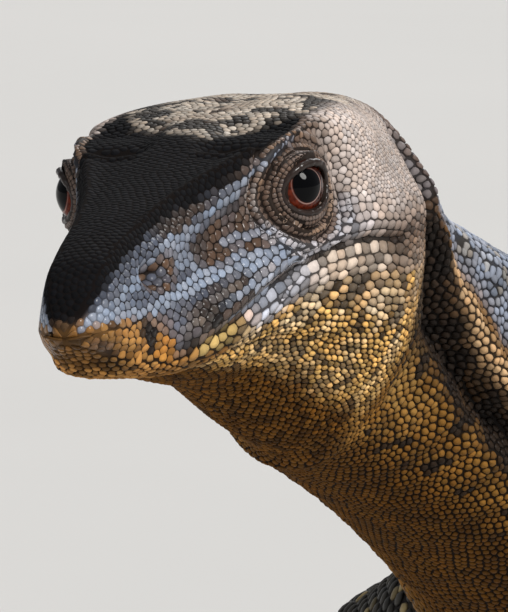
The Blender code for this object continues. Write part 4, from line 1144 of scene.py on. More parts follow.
def lidScales(sheet, side):
    # rows of small scales on the lids, found on a fine net of places round the eye
    net = np.meshgrid(np.linspace(57.0, 80.0, 220), side * np.linspace(0.10, 0.62, 300), indexing="ij")
    s, w = (places.ravel() for places in net)
    place = sheet.at(s, w)
    out, back, up = gazeFrame(side * sheet.leftSign)
    away = place - eyeCentre(side * sheet.leftSign)
    angle, edge = lidAngles(away, out, back, up)
    turn = np.arctan2(away @ up, away @ back)
    past = angle - edge
    near = np.abs(past - 0.4) < 0.5
    s, w, turn, past, place = s[near], w[near], turn[near], past[near], place[near]
    tree = treeOf(np.stack((np.cos(turn) * (1.0 + past), np.sin(turn) * (1.0 + past), 0.0 * turn), -1))
    found, taken = [], []
    for row, gap in scaleLook["lidRows"]:
        for aim in np.arange(0.0, 2 * math.pi, 0.02) + 0.3 * row:
            _, k, miss = tree.find(((1.0 + row) * math.cos(aim), (1.0 + row) * math.sin(aim), 0.0))
            close = taken and np.linalg.norm(np.array(taken) - place[k], axis=1).min() < 0.93 * gap
            if miss <= 0.03 and not close:
                taken.append(place[k])
                found.append((s[k], w[k], gap))
    return found


def fixedScales(sheet):
    # rows along both lips and rings round each eye, as s, w and size
    found = []
    vs = np.linspace(0.0, 0.9, 240)

    def share(s, z):
        _, profile = headSection(np.atleast_1d(s), vs)
        return np.array([np.interp(-at, -row, vs) for at, row in zip(np.atleast_1d(z), profile)])

    chance = np.random.default_rng(5)
    for side in (-1.0, 1.0):
        for offset, gap in scaleLook["lipRows"]:
            at = 24.0
            while at < mouthCorner:
                uneven = chance.uniform(-1.0, 1.0, 2)
                size = scaleLook["lipGap"] * gap * (1.0 + 0.18 * uneven[0])
                step = size * math.sqrt(1.7)
                middle = np.array((at + step / 2,))
                level = column(headStations, 6, middle) + offset + (0.4 * uneven[1] if offset < -3.0 else 0.0)
                found.append((middle[0], side * share(middle, level)[0], size * 0.98))
                at += step
        found += lidScales(sheet, side)
        taken = sheet.at(*np.array(found)[:, :2].T)
        for radius, gap in scaleLook["eyeRings"]:
            count = int(round(2 * math.pi * radius / gap * 1.08))
            turn = np.arange(count) / count * 2 * math.pi + 0.3 * radius
            s = eyeLook["along"] + eyeLook["oval"] * radius * np.cos(turn)
            z = eyeLook["height"] + radius * np.sin(turn)
            brow = column(headStations, 3, s)
            w = side * share(s, np.minimum(z, brow - 0.5))
            apart = np.linalg.norm(sheet.at(s, w)[:, None] - taken, axis=2).min(1)
            flat = behindEye(s, z)
            for k in np.flatnonzero((z < brow - 0.8) & ((flat < 0.5) | (radius < 7.8)) & (apart > 0.8 * gap)):
                found.append((s[k], w[k], gap))
            taken = sheet.at(*np.array(found)[:, :2].T)
    return np.array(found)


def spreadScales(sheet, low, high):
    # even places whose density follows scaleSize, then pushed apart
    rowCount, columnCount = 360, 240  # of the net that the density is read on
    rows = np.linspace(low, high, rowCount)
    columns = (np.arange(columnCount) + 0.5) / columnCount * 2 - 1
    s, w = (grid.ravel() for grid in np.meshgrid(rows, columns, indexing="ij"))
    alongSlope, roundSlope, _ = sheet.axes(s, w)
    area = np.linalg.norm(np.cross(alongSlope, roundSlope), axis=1) * (rows[1] - rows[0]) * (2 / columnCount)
    hexagon = 0.866  # area of a six-sided cell whose width is 1
    density = (area / (hexagon * scaleSize(s, w) ** 2)).reshape(rowCount, columnCount)
    perRow = density.sum(1)
    total = int(perRow.sum())
    order = np.arange(total)
    reach = np.concatenate(([0.0], np.cumsum(perRow)))
    edges = np.linspace(low, high, rowCount + 1)
    s = np.interp((order + 0.5) / total * reach[-1], reach, edges)
    row = np.clip(np.searchsorted(edges, s) - 1, 0, rowCount - 1)
    part = np.concatenate((np.zeros((rowCount, 1)), np.cumsum(density, 1)), 1)
    part /= part[:, -1:]
    golden = 0.6180339887498949  # steps of this share never fall into rows
    phase = (order * golden) % 1.0
    bins = np.linspace(-1.0, 1.0, columnCount + 1)
    w = np.array([np.interp(p, part[r], bins) for p, r in zip(phase, row)])
    jolt = np.random.default_rng(11).uniform(-0.35, 0.35, (2, total)) * scaleSize(s, w)
    s = np.clip(s + jolt[0], low, high)
    w = w + jolt[1] * 2.0 / np.interp(s, sheet.rows, sheet.girth)
    fixed = fixedScales(sheet)
    fixedPlace = sheet.at(fixed[:, 0], fixed[:, 1])
    tree = treeOf(fixedPlace)
    place = sheet.at(s, w)
    size = scaleSize(s, w)
    nearest = np.array([tree.find(p)[1] for p in place])
    apart = shapeApart(sheet, s, w, (fixedPlace[nearest] - place)[:, None])[2][:, 0]
    clear = apart > 0.80 * (size + fixed[nearest, 2]) / 2
    centre, _, up = spineFrame(s)
    z = ((place - centre) * up).sum(-1)
    ring = eyeRing(s, z)
    clear &= (ring > 13.4 - 4.9 * behindEye(s, z)) | (z > column(headStations, 3, s) - 0.8) | (np.abs(w) > 0.6)
    clear &= nostrilRing(s, z) > 1.5
    s = np.concatenate((fixed[:, 0], s[clear]))
    w = np.concatenate((fixed[:, 1], w[clear]))
    held = np.arange(len(s)) < len(fixed)
    # scales that crowd each other are pushed apart; lips and lids stay where they are
    for _ in range(22):
        place = sheet.at(s, w)
        size = np.where(held, 0.0, scaleSize(s, w))
        size[held] = fixed[:, 2]
        near = neighbours(place, 10)
        away = place[:, None] - place[near]
        distance = shapeApart(sheet, s, w, away)[2]
        limit = 0.5 * (size[:, None] + size[near]) * 1.12
        push = np.clip(1.0 - distance / limit, 0.0, 1.0) * size[:, None] * 0.55
        shift = (away / np.maximum(distance, 0.05)[..., None] * push[..., None]).sum(1)
        alongSlope, roundSlope, _ = sheet.axes(s, w)
        ds, dw = intoSheet(alongSlope, roundSlope, shift)
        s = np.clip(np.where(held, s, s + ds), low, high)
        w = np.where(held, w, w + dw)
    size = scaleSize(s, w)
    size[held] = fixed[:, 2]
    return s, (w + 1.0) % 2.0 - 1.0, size


def neighbours(place, count):
    tree = treeOf(place)
    return np.array([[found[1] for found in tree.find_n(p, count + 1)[1:]] for p in place])


def shapeApart(sheet, s, w, away):
    # steps between scales along and round the sheet, and how far apart, in the measure where each is round
    alongSlope, _, normal = sheet.axes(s, w)
    t1 = unit(alongSlope)
    t2 = np.cross(normal, t1)
    root = np.sqrt(scaleStretch(sheet, s, w))[:, None]
    a, b = (away * t1[:, None]).sum(-1) / root, (away * t2[:, None]).sum(-1) * root
    off = (away * normal[:, None]).sum(-1)
    return a, b, np.sqrt(a * a + b * b + off * off)


def intoSheet(alongSlope, roundSlope, shift):
    # how far a small move goes along and round the sheet
    pairs = ((alongSlope, alongSlope), (alongSlope, roundSlope), (roundSlope, roundSlope))
    aa, ab, bb = ((x * y).sum(-1) for x, y in pairs)
    a, b = (alongSlope * shift).sum(-1), (roundSlope * shift).sum(-1)
    det = np.maximum(aa * bb - ab * ab, 1e-9)
    return (a * bb - b * ab) / det, (b * aa - a * ab) / det


def brickRows(sheet, low, high, pitch, gap):
    s, w, size = [], [], []
    at, odd = low, 0
    while at < high:
        count = max(5, int(round(np.interp(at, sheet.rows, sheet.girth) / gap(at))))
        s.append(np.full(count, at))
        w.append((np.arange(count) + 0.5 * odd + 0.25) / count * 2 - 1)
        size.append(np.full(count, min(gap(at), pitch(at)) * 1.02))
        at += pitch(at)
        odd = 1 - odd
    return np.concatenate(s), np.concatenate(w), np.concatenate(size)


def riseShare(sheet, s, w):
    # how domed a scale is, as a share of its size: nearly flat on the snout, beads on jaw and neck
    if sheet.name != "body":
        return np.full(len(s), 0.14)
    v = np.abs(w)
    snoutTop = 0.045 * fade(v, 0.22, 0.28) * fade(s, 70.0, 80.0)
    head = 0.06 + 0.05 * ease(s, 58.0, 76.0) + 0.14 * ease(v, 0.58, 0.68) - snoutTop
    share = head + (0.19 - head) * ease(s, 108.0, 128.0)
    return share + (0.15 - share) * ease(s, 250.0, 310.0)


def flatShare(sheet, s, w):
    # 1 where scales are close-set polygons, 0 where they are round beads
    if sheet.name != "body":
        return np.zeros(len(s))
    return fade(np.abs(w), 0.62, 0.68) * fade(s, 106.0, 122.0)


def gapShare(sheet, s, w):
    # open skin between scales: wide on the jaw and throat, almost none on the temple
    if sheet.name != "body":
        return np.full(len(s), 0.04)
    v = np.abs(w)
    neck = ease(s, 112.0, 130.0)
    return 0.015 + 0.14 * bell(v, 0.69, 0.055) * (1.0 - neck) + 0.05 * ease(v, 0.72, 0.8) + 0.05 * neck


def halfWay(a, b, part, angles, sharp):
    # how far an outline runs each way before it meets its neighbours'; the sharper, the more like a polygon
    ahead = a[..., None] * np.cos(angles)[:, None] + b[..., None] * np.sin(angles)[:, None]
    inverse = np.clip(ahead, 0.0, None) / part[..., None]
    return np.maximum((inverse ** sharp[..., None]).sum(1), 1e-12) ** (-1 / sharp)


def raiseTops(points, normal, directions, spare):
    # over a crease a dome's top stays above its last ring
    inner = points[:, -1 - directions:-1]
    sunk = ((inner - points[:, -1:]) * normal[:, None]).sum(-1).mean(1) + spare
    points[:, -1] += normal * np.maximum(sunk, 0.0)[:, None]


def makeScales(sheet, s, w, size, keep, directions, rings):
    # domes whose outline runs half way to each neighbour: their places, sizes, points and base points
    place = sheet.at(s, w)
    alongSlope, roundSlope, normal = sheet.axes(s, w)
    t1 = unit(alongSlope)
    t2 = np.cross(normal, t1)
    near = neighbours(place, 14)
    a, b, _ = shapeApart(sheet, s, w, place[near] - place[:, None])
    root = np.sqrt(scaleStretch(sheet, s, w))
    share = size[:, None] / (size[:, None] + size[near])
    # the first direction points at the nearest neighbour, so corners fall between neighbours
    first = np.argmin(a * a + b * b, axis=1)[:, None]
    towards = np.arctan2(np.take_along_axis(b, first, 1), np.take_along_axis(a, first, 1))
    angles = towards + np.arange(directions) / directions * 2 * math.pi
    flat = flatShare(sheet, s, w)
    reach = halfWay(a, b, share * (a * a + b * b), angles, (9.0 + 13.0 * flat)[:, None])
    onHead = (s < 300.0) & (sheet.name == "body")
    cap = np.where(onHead, scaleLook["headCap"], scaleLook["bodyCap"])
    reach = np.minimum(reach, (cap * size)[:, None]) * (1.0 - gapShare(sheet, s, w))[:, None]
    keep = np.flatnonzero(keep)
    s, w, size, reach, angles, flat = (values[keep] for values in (s, w, size, reach, angles, flat))
    alongSlope, roundSlope, normal, t1, t2 = (values[keep] for values in (alongSlope, roundSlope, normal, t1, t2))
    root = root[keep, None, None]
    rise = np.minimum(riseShare(sheet, s, w) * size, 0.5)
    base, height = [], []
    for radius, level in rings:
        if level > 0:
            radius, level = (radius + 0.09 * flat)[:, None, None], (level + 0.16 * flat)[:, None]
        turned = t1[:, None] * np.cos(angles)[..., None] * root + t2[:, None] * np.sin(angles)[..., None] / root
        spoke = reach[..., None] * radius * turned
        ds, dw = intoSheet(alongSlope[:, None], roundSlope[:, None], spoke)
        ds, dw = np.clip(ds, -3.0 * size[:, None], 3.0 * size[:, None]), np.clip(dw, -0.12, 0.12)
        where = sheet.at((s[:, None] + ds).ravel(), (w[:, None] + dw).ravel()).reshape(spoke.shape)
        base.append(where)
        lifted = level * rise[:, None] if np.ndim(level) else -0.10  # the lowest ring lies in the skin
        height.append(np.broadcast_to(lifted, reach.shape))
    base.append(sheet.at(s, w)[:, None])
    height.append(rise[:, None])
    base, height = np.concatenate(base, 1), np.concatenate(height, 1)
    points = base + normal[:, None] * height[..., None]
    raiseTops(points, normal, directions, 0.12 * rise)
    return {"s": s, "w": w, "size": size, "base": base, "points": points, "rings": rings, "directions": directions}


def scaleFaces(directions, ringCount):
    # one dome, closed underneath
    j = np.arange(directions)
    k = (j + 1) % directions
    faces = []
    for ring in range(ringCount - 1):
        low, high = ring * directions, (ring + 1) * directions
        faces += [np.stack((low + j, low + k, high + k), -1), np.stack((low + j, high + k, high + j), -1)]
    last = (ringCount - 1) * directions
    faces.append(np.stack((last + j, last + k, np.full(directions, last + directions)), -1))
    inner = np.arange(1, directions - 1)
    faces.append(np.stack((np.zeros(directions - 2, int), inner + 1, inner), -1))
    return np.concatenate(faces)


def scaleShades(directions):
    # how dark each vertex of a dome is: a dark rim, partly the dark skin between scales and partly painted shade where
    # the domes meet, and a top a little lighter as a painted highlight
    return np.array([scaleLook["rim"]] * directions + [scaleLook["ringShade"]] * directions + [scaleLook["topHighlight"]])


def wetness(gloss):
    return np.clip(2.3 - gloss * 5.5, 0.0, 1.0)


def repeatFaces(one, count, each):
    # the faces of one dome, given to so many of them
    return (one[None] + (np.arange(count) * each)[:, None, None]).reshape(-1, 3)


def scalePiece(sheet, made, pick, span=None):
    # marks, faces and patches of the picked scales; on the body span is the stretch that the unwrap covers
    directions, rings = made["directions"], made["rings"]
    each, count = directions * len(rings) + 1, len(pick)
    one = scaleFaces(directions, len(rings))
    faces = repeatFaces(one[:, ::-1] if sheet.facing < 0 else one, count, each)
    s, w = made["s"][pick], made["w"][pick]
    centre = made["base"][pick, -1]
    tone, gloss = paint(sheet, s, w, centre)
    chance = np.random.default_rng(len(pick)).random((count, 3))
    onBody, high = sheet.name == "body", np.abs(w)
    # scales differ more from each other on the jaw, less on the snout's side
    vary = 0.5 + 0.8 * (ease(high, 0.48, 0.56) * fade(s, 100.0, 130.0))[:, None] * onBody
    snoutSide = ease(high, 0.24, 0.30) * fade(high, 0.52, 0.56) * fade(s, 56.0, 70.0)
    vary -= 0.22 * snoutSide[:, None] * onBody
    tone = tone * (1.0 - vary / 2 + vary * chance[:, :1]) * (1.0 + 0.10 * (chance[:, 1:2] - 0.5) * np.array((1.0, 0.0, -1.0)))
    tone = (tone[:, None] * scaleShades(directions)[None, :, None]).reshape(-1, 3)
    # each scale is a small patch at its own place on the sheet's unwrap
    if onBody:
        u, v = (s - span[0]) / (span[1] - span[0]), (w + 1) / 2
    else:
        u0, v0, u1, v1 = sheet.uvBox
        u, v = u0 + (u1 - u0) * np.clip(s / sheet.rows[-1], 0, 1), v0 + (v1 - v0) * (w + 1) / 2
    angles = (np.arange(directions) + 0.5) / directions * 2 * math.pi
    spoke = np.stack((np.cos(angles), np.sin(angles)), -1) * scaleLook["patch"]
    patch = np.concatenate([spoke * radius for radius, _ in rings] + [np.zeros((1, 2))])
    uv = (np.stack((u, v), -1)[:, None] + patch[None]).reshape(-1, 2)
    return {"points": made["points"][pick].reshape(-1, 3), "faces": faces, "tone": tone, "uv": uv,
            "gloss": np.repeat(gloss + 0.08 * (chance[:, 1] - 0.5), each), "wet": np.repeat(wetness(gloss), each)}


def joinParts(name, parts, slot):
    # one piece of the coat from several parts
    offset, faces = 0, []
    for part in parts:
        faces.append(part["faces"] + offset)
        offset += len(part["points"])
    faces = np.concatenate(faces)
    merged = {key: np.concatenate([part[key] for part in parts]) for key in ("points", "tone", "gloss", "wet", "uv")}
    merged["points"][:, 2] = np.maximum(merged["points"][:, 2], 0.0)
    marks = {key: merged[key] for key in ("tone", "gloss", "wet")}
    meshPiece(name, merged["points"], faces, coatSurface, marks, merged["uv"][faces.ravel()])


def surfaceOf(points, mesh):
    return BVHTree.FromPolygons(points.tolist(), [tuple(p.vertices) for p in mesh.polygons])


def nearSkin(tree, points):
    found = [tree.find_nearest(p) for p in points.tolist()]
    return np.array([f[0] for f in found]), np.array([f[3] for f in found])


def inEye(points):
    # inside either eye's opening
    inside = np.zeros(len(points), bool)
    for flip in (1.0, -1.0):
        away = points - eyeCentre(flip)
        out, back, up = gazeFrame(flip)
        inside |= (lidShare(away, out, back, up) < 1.12) & (np.linalg.norm(away, axis=1) < 12.0)
    return inside


def buildEye(name, flip):
    out, back, up = gazeFrame(flip)
    more = eyeLook["gaze"] - eyeLook["turn"]
    gaze = unit(out * math.cos(more) - back * math.sin(more) + up * 0.11)
    level = unit(np.cross(up, gaze))
    rise = np.cross(gaze, level)
    centre = eyeCentre(flip)
    polar = np.concatenate((np.linspace(0.0, 1.25, 84)[1:], np.linspace(1.3, math.pi - 0.02, 24)))
    count = 128
    spin = np.arange(count) / count * 2 * math.pi
    radius = eyeLook["radius"] - 0.12 + 0.42 * bell(polar, 0.0, 0.52)
    ring = (np.cos(polar) * radius)[:, None, None] * gaze + (np.sin(polar) * radius)[:, None, None] * (
        np.cos(spin)[None, :, None] * level + np.sin(spin)[None, :, None] * rise)
    hubs = np.stack((centre + gaze * radius[0], centre - gaze * radius[-1]))
    points = np.concatenate((centre + ring.reshape(-1, 3), hubs))
    faces = facingOut(points, cappedFaces(len(polar), count), centre)
    p = np.concatenate((np.repeat(polar, count), (0.0, math.pi)))
    a = np.concatenate((np.tile(spin, len(polar)), (0.0, 0.0)))
    streak = layeredNoise(np.stack((np.cos(a) * 9, np.sin(a) * 9, p * 4 + 20 * (flip > 0)), -1), 1.0, 5)
    speck = latticeNoise(np.stack((np.cos(a) * 14 * p, np.sin(a) * 14 * p, p * 9 + 3), -1), 9)
    iris, glow, goldRing, pupilTone, whiteTone = (
        np.array(eyeLook[key]) for key in ("iris", "irisGlow", "ring", "pupilTone", "whiteTone"))
    toLimb = ease(p, 0.62, 1.12)[:, None]
    colour = (iris * (0.5 + 1.1 * streak[:, None])) * (1 - toLimb) + glow * toLimb * (0.45 + 0.9 * streak[:, None])
    colour = colour * (0.7 + 0.5 * ease(speck, 0.3, 0.6)[:, None]) * (1.0 - 0.85 * ease(p, 0.80, 1.05))[:, None]
    # painted shade of the upper lid: the iris is darker at the top and rear, lighter low and towards the snout
    colour = colour * (0.22 + 0.9 * ease(-0.8 * flip * np.cos(a) - 0.6 * np.sin(a), -0.2, 0.75))[:, None]
    pupil = eyeLook["pupil"] + 0.012 * np.sin(a * 3)
    # the pale ring round the pupil is brighter low and to the rear as a painted highlight
    lit = 0.35 + 0.65 * ease(0.6 * flip * np.cos(a) - 0.8 * np.sin(a), -0.3, 0.6)
    colour = mixRows(colour, goldRing, bell(p, pupil + 0.030, 0.015) * lit)
    colour = mixRows(colour, pupilTone, 1.0 - ease(p, pupil - 0.01, pupil + 0.02))
    colour = mixRows(colour, whiteTone, ease(p, 1.16, 1.3))
    uv = 0.5 + 0.15 * p[:, None] * np.stack((np.cos(a), np.sin(a)), -1)
    piece = meshPiece(name, points, faces, eyeMaterial, {"tone": colour}, uv[faces.ravel()])
    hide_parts("eye_left" if flip > 0 else "eye_right")
    return piece


def makeEyeMaterial():
    material, tree, shader, _, tone, grain = toned("monitor_eye", 2600.0, 2.0)
    colour = add(tree, "ShaderNodeVectorMath", {"operation": "SCALE"}, {0: tone, 3: 0.85 + grain * 0.3})
    feed(tree, shader, {"Base Color": colour, "Roughness": 0.05 + grain * 0.04},
         {"Coat Weight": 0.36, "Coat Roughness": 0.01, "Coat IOR": 1.24, "IOR": 1.35, "Specular IOR Level": 0.08})
    return material


def lidRing(flip):
    # the smooth margin of the lids round the opening
    out, back, up = gazeFrame(flip)
    count, sides = 96, 10
    turn = np.arange(count) / count * 2 * math.pi
    a = eyeLook["opening"][0] * 1.15 * np.cos(turn)
    b = eyeLook["opening"][1] * 1.15 * np.sin(turn)
    radius = eyeLook["radius"] + 0.55
    deep = np.sqrt(radius ** 2 - a * a - b * b)
    path = eyeCentre(flip) + a[:, None] * back + b[:, None] * up + deep[:, None] * out
    along = unit(np.roll(path, -1, 0) - np.roll(path, 1, 0))
    outward = unit(path - eyeCentre(flip))
    across = np.cross(along, outward)
    thick = 0.46 + 0.22 * ease(np.sin(turn), 0.1, 0.8) + 0.05 * np.sin(turn * 17) + 0.10 * np.sin(turn * 29 + 1.0) * 0.4
    angle = np.arange(sides) / sides * 2 * math.pi
    ring = np.cos(angle)[None, :, None] * outward[:, None] + np.sin(angle)[None, :, None] * across[:, None]
    points = (path[:, None] + thick[:, None, None] * ring).reshape(-1, 3)
    i, j = np.meshgrid(np.arange(count), np.arange(sides), indexing="ij")
    k, n = (j + 1) % sides, (i + 1) % count
    faces = halved(np.stack((i * sides + j, i * sides + k, n * sides + k, n * sides + j), -1).reshape(-1, 4))
    faces = facingOut(points, faces, np.repeat(path, sides, 0)[faces[:, 0]])
    total = len(points)
    mottle = 0.8 + 0.4 * latticeNoise(points / 1.5, 61)[:, None]
    v0 = 0.02 if flip > 0 else 0.06
    uv = np.stack((0.97 + 0.02 * np.repeat(turn, sides) / 6.3, np.tile(angle, count) / 6.3 * 0.02 + v0), -1)
    return {"points": points, "faces": faces, "tone": np.tile(np.array(eyeLook["lidTone"]), (total, 1)) * mottle,
            "gloss": np.full(total, 0.35), "wet": np.full(total, 0.5), "uv": uv}


clawLook = {"length": 14.0, "radius": 2.5, "lift": 0.8, "rings": 17, "sides": 16,
            "tone": (0.030, 0.025, 0.020), "root": (0.10, 0.075, 0.045)}


def buildClaw(name, tip, line):
    # a curved cone from the toe's tip, its first ring inside the toe
    rings, sides = clawLook["rings"], clawLook["sides"]
    t = np.linspace(0.0, 1.0, rings - 1)
    stations = np.array((0.0, 0.3, 0.6, 0.85, 1.0))
    coarse = tip + np.outer(stations * clawLook["length"], line)
    coarse[:, 2] += clawLook["length"] * (0.34 * np.sin(stations * math.pi * 0.8) - 0.12 * stations * stations)
    radii = clawLook["radius"] * (1.0 - stations) ** 0.7 + 0.3
    coarse[:, 2] = np.maximum(coarse[:, 2], radii + clawLook["lift"])
    path = smoothTrack(stations, coarse, t)
    path = np.concatenate((path[:1] - line * 1.6, path))
    radii = clawLook["radius"] * (1.0 - t) ** 0.75 + 0.12
    radii = np.concatenate((radii[:1] * 0.92, radii))
    grid = tubeSheet(path, radii + coatDepth, sides, np.full(rings, 1.22), (0, 0, 1, 1), "claw").grid
    points = withHubs(grid)
    faces = facingOut(points, cappedFaces(rings, sides), points.mean(0))
    along = np.concatenate((np.repeat(np.linspace(0, 1, rings), sides), (0.0, 1.0)))
    streak = latticeNoise(points * (1.6, 1.6, 0.5), 71)[:, None]
    pale = np.array(clawLook["root"]) * (1 - ease(along, 0.0, 0.5))[:, None]
    colour = np.array(clawLook["tone"]) * (0.6 + 0.8 * streak) + pale * streak
    points[:, 2] = np.maximum(points[:, 2], 0.0)
    uv = np.stack((along, np.concatenate((np.tile(np.arange(sides) / sides, rings), (0.5, 0.5)))), -1)
    piece = meshPiece(name + "_horn", points, faces, hornMaterial, {"tone": colour}, uv[faces.ravel()])
    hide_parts(name)


def makeHornMaterial():
    material, tree, shader, _, tone, grain = toned("monitor_horn", 900.0, 3.0)
    colour = add(tree, "ShaderNodeVectorMath", {"operation": "SCALE"}, {0: tone, 3: 0.7 + grain * 0.6})
    bump = add(tree, "ShaderNodeBump", values={"Strength": 0.3, "Distance": 0.0001, "Height": grain})
    feed(tree, shader, {"Base Color": colour, "Roughness": 0.2 + grain * 0.2, "Normal": bump}, {"Coat Weight": 0.3})
    return material


# the move from the body's own measures to the frame, from where the left eye is
low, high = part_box("eye_left")
moved = (np.array(low) + np.array(high)) / 2 / mm - eyeCentre(1.0)
moved[2] = 0.0
print("place", moved)

body = bodySheet()
limbs, clawPlaces = limbSheets()
sheets = [body] + limbs
coatSurface = coatMaterial()
eyeMaterial = makeEyeMaterial()
hornMaterial = makeHornMaterial()
skin = joinSkin(sheets)
rawPoints = readPoints(skin.data)
rawTree = surfaceOf(rawPoints, skin.data)
softenJoins(skin, sheets)
softTree = surfaceOf(readPoints(skin.data), skin.data)
paintSkin(skin, sheets, coatSurface)
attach(skin, "root")
flesh = ["head", "neck", "torso", "tail_base", "tail_middle", "tail_end", "tail_tip"]
flesh += [f"{kind}_{side}_{part}" for kind in legs for side in ("left", "right") for part in ("leg", "foot")]
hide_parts(*flesh)
print("skin", len(skin.data.vertices), "points", len(skin.data.polygons), "triangles")


def dressSheet(sheet, s, w, size, directions, rings):
    # scales of one sheet where it is the skin's own surface; those off the softened skin are dropped
    place = sheet.at(s, w)
    _, gap = nearSkin(rawTree, place)
    keep = gap < 0.7
    if sheet.name == "body":
        keep &= ~inEye(place)
    else:
        keep &= place[:, 2] > 0.25
    made = makeScales(sheet, s, w, size, keep, directions, rings)
    flat = made["base"].reshape(-1, 3)
    _, gap = nearSkin(softTree, flat)
    # a scale that a fold or a join would draw out is left off
    spread = np.linalg.norm(made["points"] - made["points"][:, -1:], axis=2).max(1)
    whole = spread < made["size"] * 1.15 * np.sqrt(scaleStretch(sheet, made["s"], made["w"])) + 0.25
    whole &= gap.reshape(made["base"].shape[:2]).max(1) < (0.5 if sheet.name == "body" else 0.35)
    return {key: value[whole] if isinstance(value, np.ndarray) else value for key, value in made.items()}


# radius and height of each ring of a dome; below 0 the ring lies under the skin
beadRings = ((1.0, -1.0), (0.78, 0.70))
plainRings = ((1.0, -1.0), (0.72, 0.72))
# places along the trunk and tail, with the rows' pitch and the gap round them there, in mm
trunkRows = {"along": (300, 330, 745, 1100, 1750), "pitch": (3.6, 3.9, 4.6, 5.4, 4.0), "gap": (3.8, 4.3, 4.4, 4.2, 2.4)}
s, w, size = spreadScales(body, 0.5, 300.0)
print("head and neck scales", len(s))
parts = [("head", dressSheet(body, s, w, size, 12, beadRings))]
rows = brickRows(body, 300.0, bodyLength - 3.0,
                 lambda at: float(np.interp(at, trunkRows["along"], trunkRows["pitch"])),
                 lambda at: float(np.interp(at, trunkRows["along"], trunkRows["gap"])))
parts.append(("trunk", dressSheet(body, *rows, 8, plainRings)))
print("trunk and tail scales", len(rows[0]))


def splitPieces(label, made):
    # pieces of even size, cut across the body; the lids' margins go with the snout's
    each = len(scaleFaces(made["directions"], len(made["rings"])))
    order = np.argsort(made["s"], kind="stable")
    number = int(math.ceil(len(order) * each / scaleLook["mostPerPiece"]))
    for k, pick in enumerate(np.array_split(order, number), 1):
        span = (made["s"][pick].min() - 1.0, made["s"][pick].max() + 1.0)
        pieces = [scalePiece(body, made, pick, span)]
        if label == "head" and k == 1:
            pieces += [lidRing(1.0), lidRing(-1.0)]
        joinParts(f"scales_{label}_{k}", pieces, "head_skin" if label == "head" else "body_skin")


# scales between the rows: their sizes, tries per square mm, and the room that each needs, in shares of its size
fillLook = {"trunk": 3.4, "foot": 2.4, "footTop": 22.0, "bareFrom": 1.5, "tries": 1.6, "mostTries": 60,
            "offRows": 0.80, "apart": 0.86, "cell": 3.5, "cap": 0.66, "rise": 0.14}


def fillScales(taken, takenSize):
    # scales for what the sheets' own rows leave bare behind the neck: joins, knees, soles' rims
    mesh = skin.data
    points = readPoints(mesh)
    corners = points[np.array([tuple(face.vertices) for face in mesh.polygons])]
    centre = corners.mean(1)
    across = np.cross(corners[:, 1] - corners[:, 0], corners[:, 2] - corners[:, 0])
    area = np.linalg.norm(across, axis=1) / 2
    # behind the neck, off the floor and not facing down
    behind = (centre[:, 1] > -90.0) & (centre[:, 2] > 1.2) & (across[:, 2] > -1.2 * area) & (area > 1e-4)
    tree = treeOf(taken)
    bare = np.flatnonzero(behind)
    bare = bare[np.array([tree.find(p)[2] for p in centre[bare]]) > fillLook["bareFrom"]]
    chance = np.random.default_rng(23)
    count = (area[bare] * fillLook["tries"] + chance.random(len(bare))).astype(int)
    count = np.minimum(count, fillLook["mostTries"])
    pick = np.repeat(bare, count)
    a, b = np.sqrt(chance.random(len(pick)))[:, None], chance.random(len(pick))[:, None]
    tries = corners[pick, 0] * (1 - a) + corners[pick, 1] * (a * (1 - b)) + corners[pick, 2] * (a * b)
    size = np.where(tries[:, 2] < fillLook["footTop"], fillLook["foot"], fillLook["trunk"])
    found = [tree.find(p) for p in tries]
    gap = np.array([f[2] for f in found]) / (takenSize[[f[1] for f in found]] + size) * 2
    keep = gap > fillLook["offRows"]
    tries, size, gap = tries[keep], size[keep], gap[keep]
    # the places nearest to the rows first, each kept if it has room
    around = [(x, y, z) for x in (-1, 0, 1) for y in (-1, 0, 1) for z in (-1, 0, 1)]
    cells, chosen = {}, []
    for k in np.argsort(gap, kind="stable"):
        cell = tuple((tries[k] // fillLook["cell"]).astype(int))
        near = [q for x, y, z in around for q in cells.get((cell[0] + x, cell[1] + y, cell[2] + z), ())]
        if all(np.linalg.norm(tries[k] - tries[q]) > fillLook["apart"] * size[k] for q in near):
            cells.setdefault(cell, []).append(k)
            chosen.append(k)
    return tries[chosen], size[chosen]


